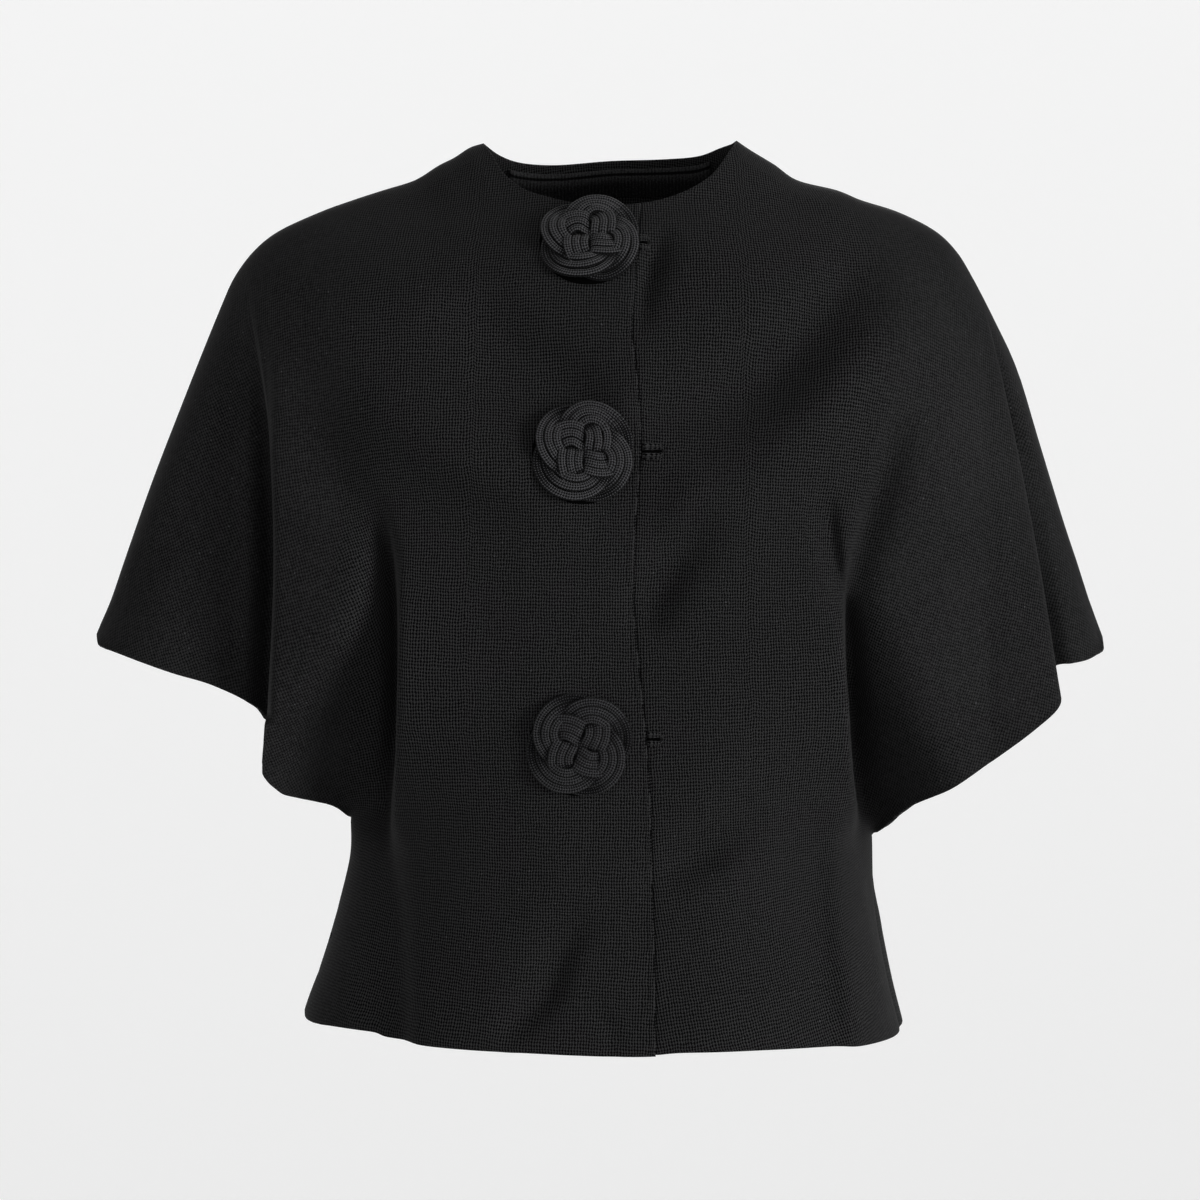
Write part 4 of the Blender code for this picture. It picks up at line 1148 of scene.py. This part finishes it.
def felt_finish(name):
    """Black felt, a fine tangle with no gloss."""
    felt = Finish(name)
    where = felt.add("ShaderNodeTexCoord").outputs["Object"]
    tangle = felt.noise(where, FELT_SCALE, 4.0, space="3D")
    colour = felt.mix(tangle, FELT_DARK, FELT_LIGHT)
    return felt.close(colour, tangle, FELT_RELIEF, FELT_GLOSS)


slit_shade_material = felt_finish("painted_shade_slit")
binding = knit_finish("black_knit_binding", (0.0006, 0.0006, 0.0007), (0.0200, 0.0200, 0.0204),
                      1.1 * MM, 1.3 * MM)
words = ("top", "middle", "bottom")
for word, level, reach in zip(words, HOLE_LEVELS, HOLE_REACH):
    shares = np.linspace(-1.0, 1.0, LIP_STEPS + 1)
    runs = (reach - LIP_HALF_HIGH) * (1.0 - np.abs(shares) ** LIP_BLUNT)
    rises = LIP_APART * np.sin(np.clip(shares * LIP_OPEN, -1.0, 1.0) * math.pi / 2)
    slim = LIP_SLIM + (1.0 - LIP_SLIM) * np.abs(shares) ** 0.5
    start = edge_place(level) + HOLE_START
    swings = angles_round(LIP_SIDES)
    x = np.repeat(start + runs, LIP_SIDES)
    z = level + rises[:, None] + slim[:, None] * LIP_HALF_HIGH * np.sin(swings)
    lifts = LIP_LIFT + LIP_HALF_THICK * np.tile(np.cos(swings), len(runs))
    z = z.ravel()
    spots, _ = on_surface(x, z, -1, lifts[:, None], lap_shift(x, z, "left"))
    rings = np.split(spots, len(runs))
    chart = [(k * LIP_GRAIN[0], j * LIP_GRAIN[1]) for k in range(len(rings))
             for j in range(LIP_SIDES)]
    faces = sweep_rings(rings, False)
    lip_faces = len(faces)
    # a dark plate inside the slit: painted shade over the cloth that lies in shadow there
    x = start + np.repeat(np.linspace(0.0, reach - SLIT_SHORT, SLIT_STEPS), 4)
    z = level + np.tile(SLIT_HALF_HIGH * np.array([-1.0, 1.0, 1.0, -1.0]), SLIT_STEPS)
    lifts = np.tile(np.array([SLIT_FLOOR, SLIT_FLOOR, SLIT_LIFT, SLIT_LIFT]), SLIT_STEPS)
    inside, _ = on_surface(x, z, -1, lifts[:, None], lap_shift(x, z, "left"))
    slit = sweep_rings(np.split(inside, SLIT_STEPS), False)
    faces += [tuple(len(spots) + corner for corner in face) for face in slit]
    chart += [(0.0, 0.0)] * len(inside)
    lips = close_form("bound_hole_" + word, np.vstack([spots, inside]), faces, chart)
    dress_in_two(lips, binding, slit_shade_material, lip_faces)
    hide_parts("buttonhole_" + word)
    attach(lips, "root")


# ==== Buttons ====
# Flat knots of three lengths of knitted cord laid side by side, woven over and under
# themselves, on a round of black felt set off so that its edge shows on one side as painted
# contact shadow. Each is sewn to the right front by its middle.

BUTTON_PLACES = ((-11.0, -35.0), (-15.0, -148.0), (-16.5, -301.0))
BUTTON_TURNS = (49.0, 43.0, 30.0)
# the cord's light tone on each button, painted lighter or darker for the light that button gets:
# lit and shaded copies of one finish
BUTTON_LIGHTING_TONE = (0.0365, 0.0335, 0.0225)
KNOT_LAPS = 3
KNOT_BIGHTS = 4
KNOT_RADIUS = 14.8
KNOT_SWING = 7.6
KNOT_SQUARE = 0.5
KNOT_REACH = 29.0
KNOT_BASE = 4.5
KNOT_WAVE = 1.95
KNOT_BEND = 0.6
CORD_APART = 4.5
CORD_HALF_WIDE = 2.26
CORD_HALF_HIGH = 1.3
CORD_FLAT = 0.75
CORD_SQUARE = 0.85
CORD_SIDES = 16
CORD_STEPS = 660
CORD_CROWN = 0.15
RIM_FALL = 1.5
RIM_FROM = 17.0
RIM_OVER = 9.0
MIDDLE_FROM = 14.0
MIDDLE_OVER = 6.0
SEAT_STEPS = 15
KNOT_UNEVEN = 0.5
UNEVEN_START = 1.0
SUNK_LEVEL = 0.45
SUNK_OVER = 1.1
OUTSIDE_RAISED = 0.6
FELT_RINGS = ((3.0, 1.6), (10.0, 1.6), (19.0, 1.4), (24.5, 1.0), (26.6, 0.6), (26.6, 0.2),
              (25.5, 0.0))
FELT_SIDES = 48
# how far the felt is set off, so that its dark edge shows beyond the knot on one side as painted
# contact shadow
SHADOW_ASIDE = (-0.5, -0.9)
STITCH_APART = 1.35 * MM
STITCH_SLANT = 0.12
ROW_APART = 1.5
RUNG_SHARE = 0.48
ROW_SHARE = 0.52
LOOPS_SHOW = 2.5
CORD_NAP_SCALE = 1300.0
CORD_NAP_SHOWS = 1.5
CORD_NAP_HEIGHT = 0.3
# painted shade along the cords' sides, where they meet, and where they dip under
JOIN_SIDES = (1.5, 2.2)
JOIN_SHADE_DARK = 0.8
SUNK_SHADE_DARK = 1.9
CORD_BLUE = 1.05
CORD_RELIEF = 0.45 * MM
CORD_DARK = (0.0006, 0.0006, 0.0008, 1.0)
CORD_GLOSS = {"Roughness": 0.75, "Specular IOR Level": 0.05, "Sheen Weight": 0.03}


def cord_finish(name, light):
    """Knitted cord: fine ladders of stitches across, slightly glossier than the cloth, with
    painted shade along its sides and where it dips under another cord.
    """
    cord = Finish(name)
    _, run, side = cord.grain()
    side = side * (1.0 / MM)
    rungs = (run * (1.0 / STITCH_APART) + side.magnitude() * STITCH_SLANT).wave() * 0.5 + 0.5
    rows = (side * (1.0 / ROW_APART)).wave() * 0.5 + 0.5
    loops = rungs * RUNG_SHARE + rows * ROW_SHARE
    where = cord.add("ShaderNodeTexCoord").outputs["Object"]
    nap = cord.noise(where, CORD_NAP_SCALE, 2.0, 0.6, "3D")
    join = side.magnitude().step(*JOIN_SIDES)
    lift = (loops - 0.5) * LOOPS_SHOW + (nap - 0.5) * CORD_NAP_SHOWS + 0.5
    # darker along the cord's sides where it meets the next, and where it dips under another:
    # painted shade
    lift = lift - join * JOIN_SHADE_DARK - cord.carried("sunk_shade") * SUNK_SHADE_DARK
    colour = cord.mix(lift.step(0.0, 1.0), CORD_DARK, (light, light, light * CORD_BLUE, 1.0))
    return cord.close(colour, loops + nap * CORD_NAP_HEIGHT, CORD_RELIEF, CORD_GLOSS)


def knot_cord(offset):
    """Rings of one cord of the knot, in the button's own frame."""
    turns = np.linspace(0.0, 2.0 * math.pi * KNOT_LAPS, CORD_STEPS, endpoint=False)
    phase = KNOT_BIGHTS * turns / KNOT_LAPS
    radius = KNOT_RADIUS + KNOT_SWING * np.cos(phase) - KNOT_SQUARE * np.cos(2.0 * phase)
    radius = radius + KNOT_UNEVEN * np.sin(turns * 2.0 / KNOT_LAPS + UNEVEN_START)
    slope = np.gradient(radius, turns)
    out = np.stack([np.cos(turns), np.sin(turns)], -1)
    round_way = np.stack([-np.sin(turns), np.cos(turns)], -1)
    run = slope[:, None] * out + radius[:, None] * round_way
    run /= np.linalg.norm(run, axis=1, keepdims=True)
    beside = np.stack([run[:, 1], -run[:, 0]], -1)
    flat = radius[:, None] * out + offset * beside
    reach = np.linalg.norm(flat, axis=1)
    over = np.sin(2.0 * KNOT_BIGHTS * turns / KNOT_LAPS)
    height = KNOT_BASE + KNOT_WAVE * over
    height = height - CORD_CROWN * (offset / CORD_APART) ** 2
    height = height - RIM_FALL * ease((reach - RIM_FROM) / RIM_OVER)
    swings = angles_round(CORD_SIDES)
    wide = CORD_HALF_WIDE * np.sign(np.cos(swings)) * np.abs(np.cos(swings)) ** CORD_SQUARE
    high = CORD_HALF_HIGH * np.sign(np.sin(swings)) * np.abs(np.sin(swings)) ** CORD_FLAT
    rings = [np.column_stack([spot + side * wide[:, None], level + high])
             for spot, side, level in zip(flat, beside, height)]
    chart = [(length, side) for length in run_lengths(flat) for side in wide]
    outside = ease((reach - MIDDLE_FROM) / MIDDLE_OVER)
    # where the cord dips under another, less so out at the rim: the finish paints shade there
    sunk_shade = ease(SUNK_LEVEL - over / SUNK_OVER) * (1.0 - OUTSIDE_RAISED * outside)
    return rings, chart, list(np.repeat(sunk_shade, CORD_SIDES))


def knot_seat(place):
    """Where a button lies on the right front: its middle, and its own three directions."""
    seat_x, seat_z = np.array([place[0]]), np.array([place[1]])
    here, normal = on_surface(seat_x, seat_z, -1, 0.0, lap_shift(seat_x, seat_z, "right"))
    centre, normal = here[0], normal[0]
    across = np.cross(np.array([0.0, 0.0, 1.0]), normal)
    across /= np.linalg.norm(across)
    up = np.cross(normal, across)
    grid = np.linspace(-KNOT_REACH, KNOT_REACH, SEAT_STEPS)
    spread = np.array([(dx, dz) for dx in grid for dz in grid
                       if dx * dx + dz * dz <= KNOT_REACH ** 2])
    spots = centre + spread[:, :1] * across + spread[:, 1:] * up
    x, z = spots[:, 0], spots[:, 2]
    under = np.stack([x, surface(x, z, -1) - lap_shift(x, z, "right"), z], -1)
    rest = np.max((under - centre) @ normal)
    return centre + normal * (rest + SEAM_GAP), across, up, normal


def felt_round(swing):
    """Rings of the round of felt under a knot, set off so that a thin dark edge of it shows on one
    side as painted contact shadow.
    """
    swings = angles_round(FELT_SIDES)
    shadow_x = SHADOW_ASIDE[0] * math.cos(swing) + SHADOW_ASIDE[1] * math.sin(swing)
    shadow_z = SHADOW_ASIDE[1] * math.cos(swing) - SHADOW_ASIDE[0] * math.sin(swing)
    rings = []
    for radius, level in FELT_RINGS:
        rings.append(np.stack([shadow_x + radius * np.cos(swings),
                               shadow_z + radius * np.sin(swings),
                               np.full(FELT_SIDES, level)], -1))
    return rings


felt_material = felt_finish("black_felt")
for word, place, turn, light in zip(words, BUTTON_PLACES, BUTTON_TURNS, BUTTON_LIGHTING_TONE):
    points, faces, chart, sunk_shade, middles, ring_sizes = [], [], [], [], [], []
    for offset in (-CORD_APART, 0.0, CORD_APART):
        rings, cord_chart, cord_sunk_shade = knot_cord(offset)
        start = len(points)
        faces += [tuple(start + corner for corner in face) for face in sweep_rings(rings, True)]
        points += list(np.vstack(rings))
        middles += [ring.mean(0) for ring in rings]
        ring_sizes += [CORD_SIDES] * len(rings)
        chart += cord_chart
        sunk_shade += cord_sunk_shade
    cord_faces = len(faces)
    swing = math.radians(turn)
    rings = felt_round(swing)
    start = len(points)
    faces += [tuple(start + corner for corner in face) for face in sweep_rings(rings, False)]
    points += list(np.vstack(rings))
    felt_points = len(points) - start
    middles += points[start:]
    ring_sizes += [1] * felt_points
    chart += [(0.0, 0.0)] * felt_points
    sunk_shade += [0.0] * felt_points
    # turn the knot, lay it on the front, and let it follow the swell of the cloth there
    centre, across, up, normal = knot_seat(place)
    right = across * math.cos(swing) + up * math.sin(swing)
    high = up * math.cos(swing) - across * math.sin(swing)
    frame_ways = np.array([right, high, normal])
    placed = centre + np.array(points) @ frame_ways
    middles = np.array(middles)
    level = centre + middles @ frame_ways
    x, z = level[:, 0], level[:, 2]
    lifts = middles[:, 2:] + SEAM_GAP
    laid, _ = on_surface(x, z, -1, lifts, lap_shift(x, z, "right"))
    placed = placed + np.repeat((laid - level) * KNOT_BEND, ring_sizes, axis=0)
    knot = close_form("knot_" + word, placed, faces, chart)
    # a copy of the cord finish for this button, with its tone painted for the light it gets
    cord_material = cord_finish("black_knitted_cord_" + word, light)
    dress_in_two(knot, cord_material, felt_material, cord_faces)
    carry(knot, "sunk_shade", sunk_shade)
    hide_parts("button_" + word)
    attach(knot, "root")
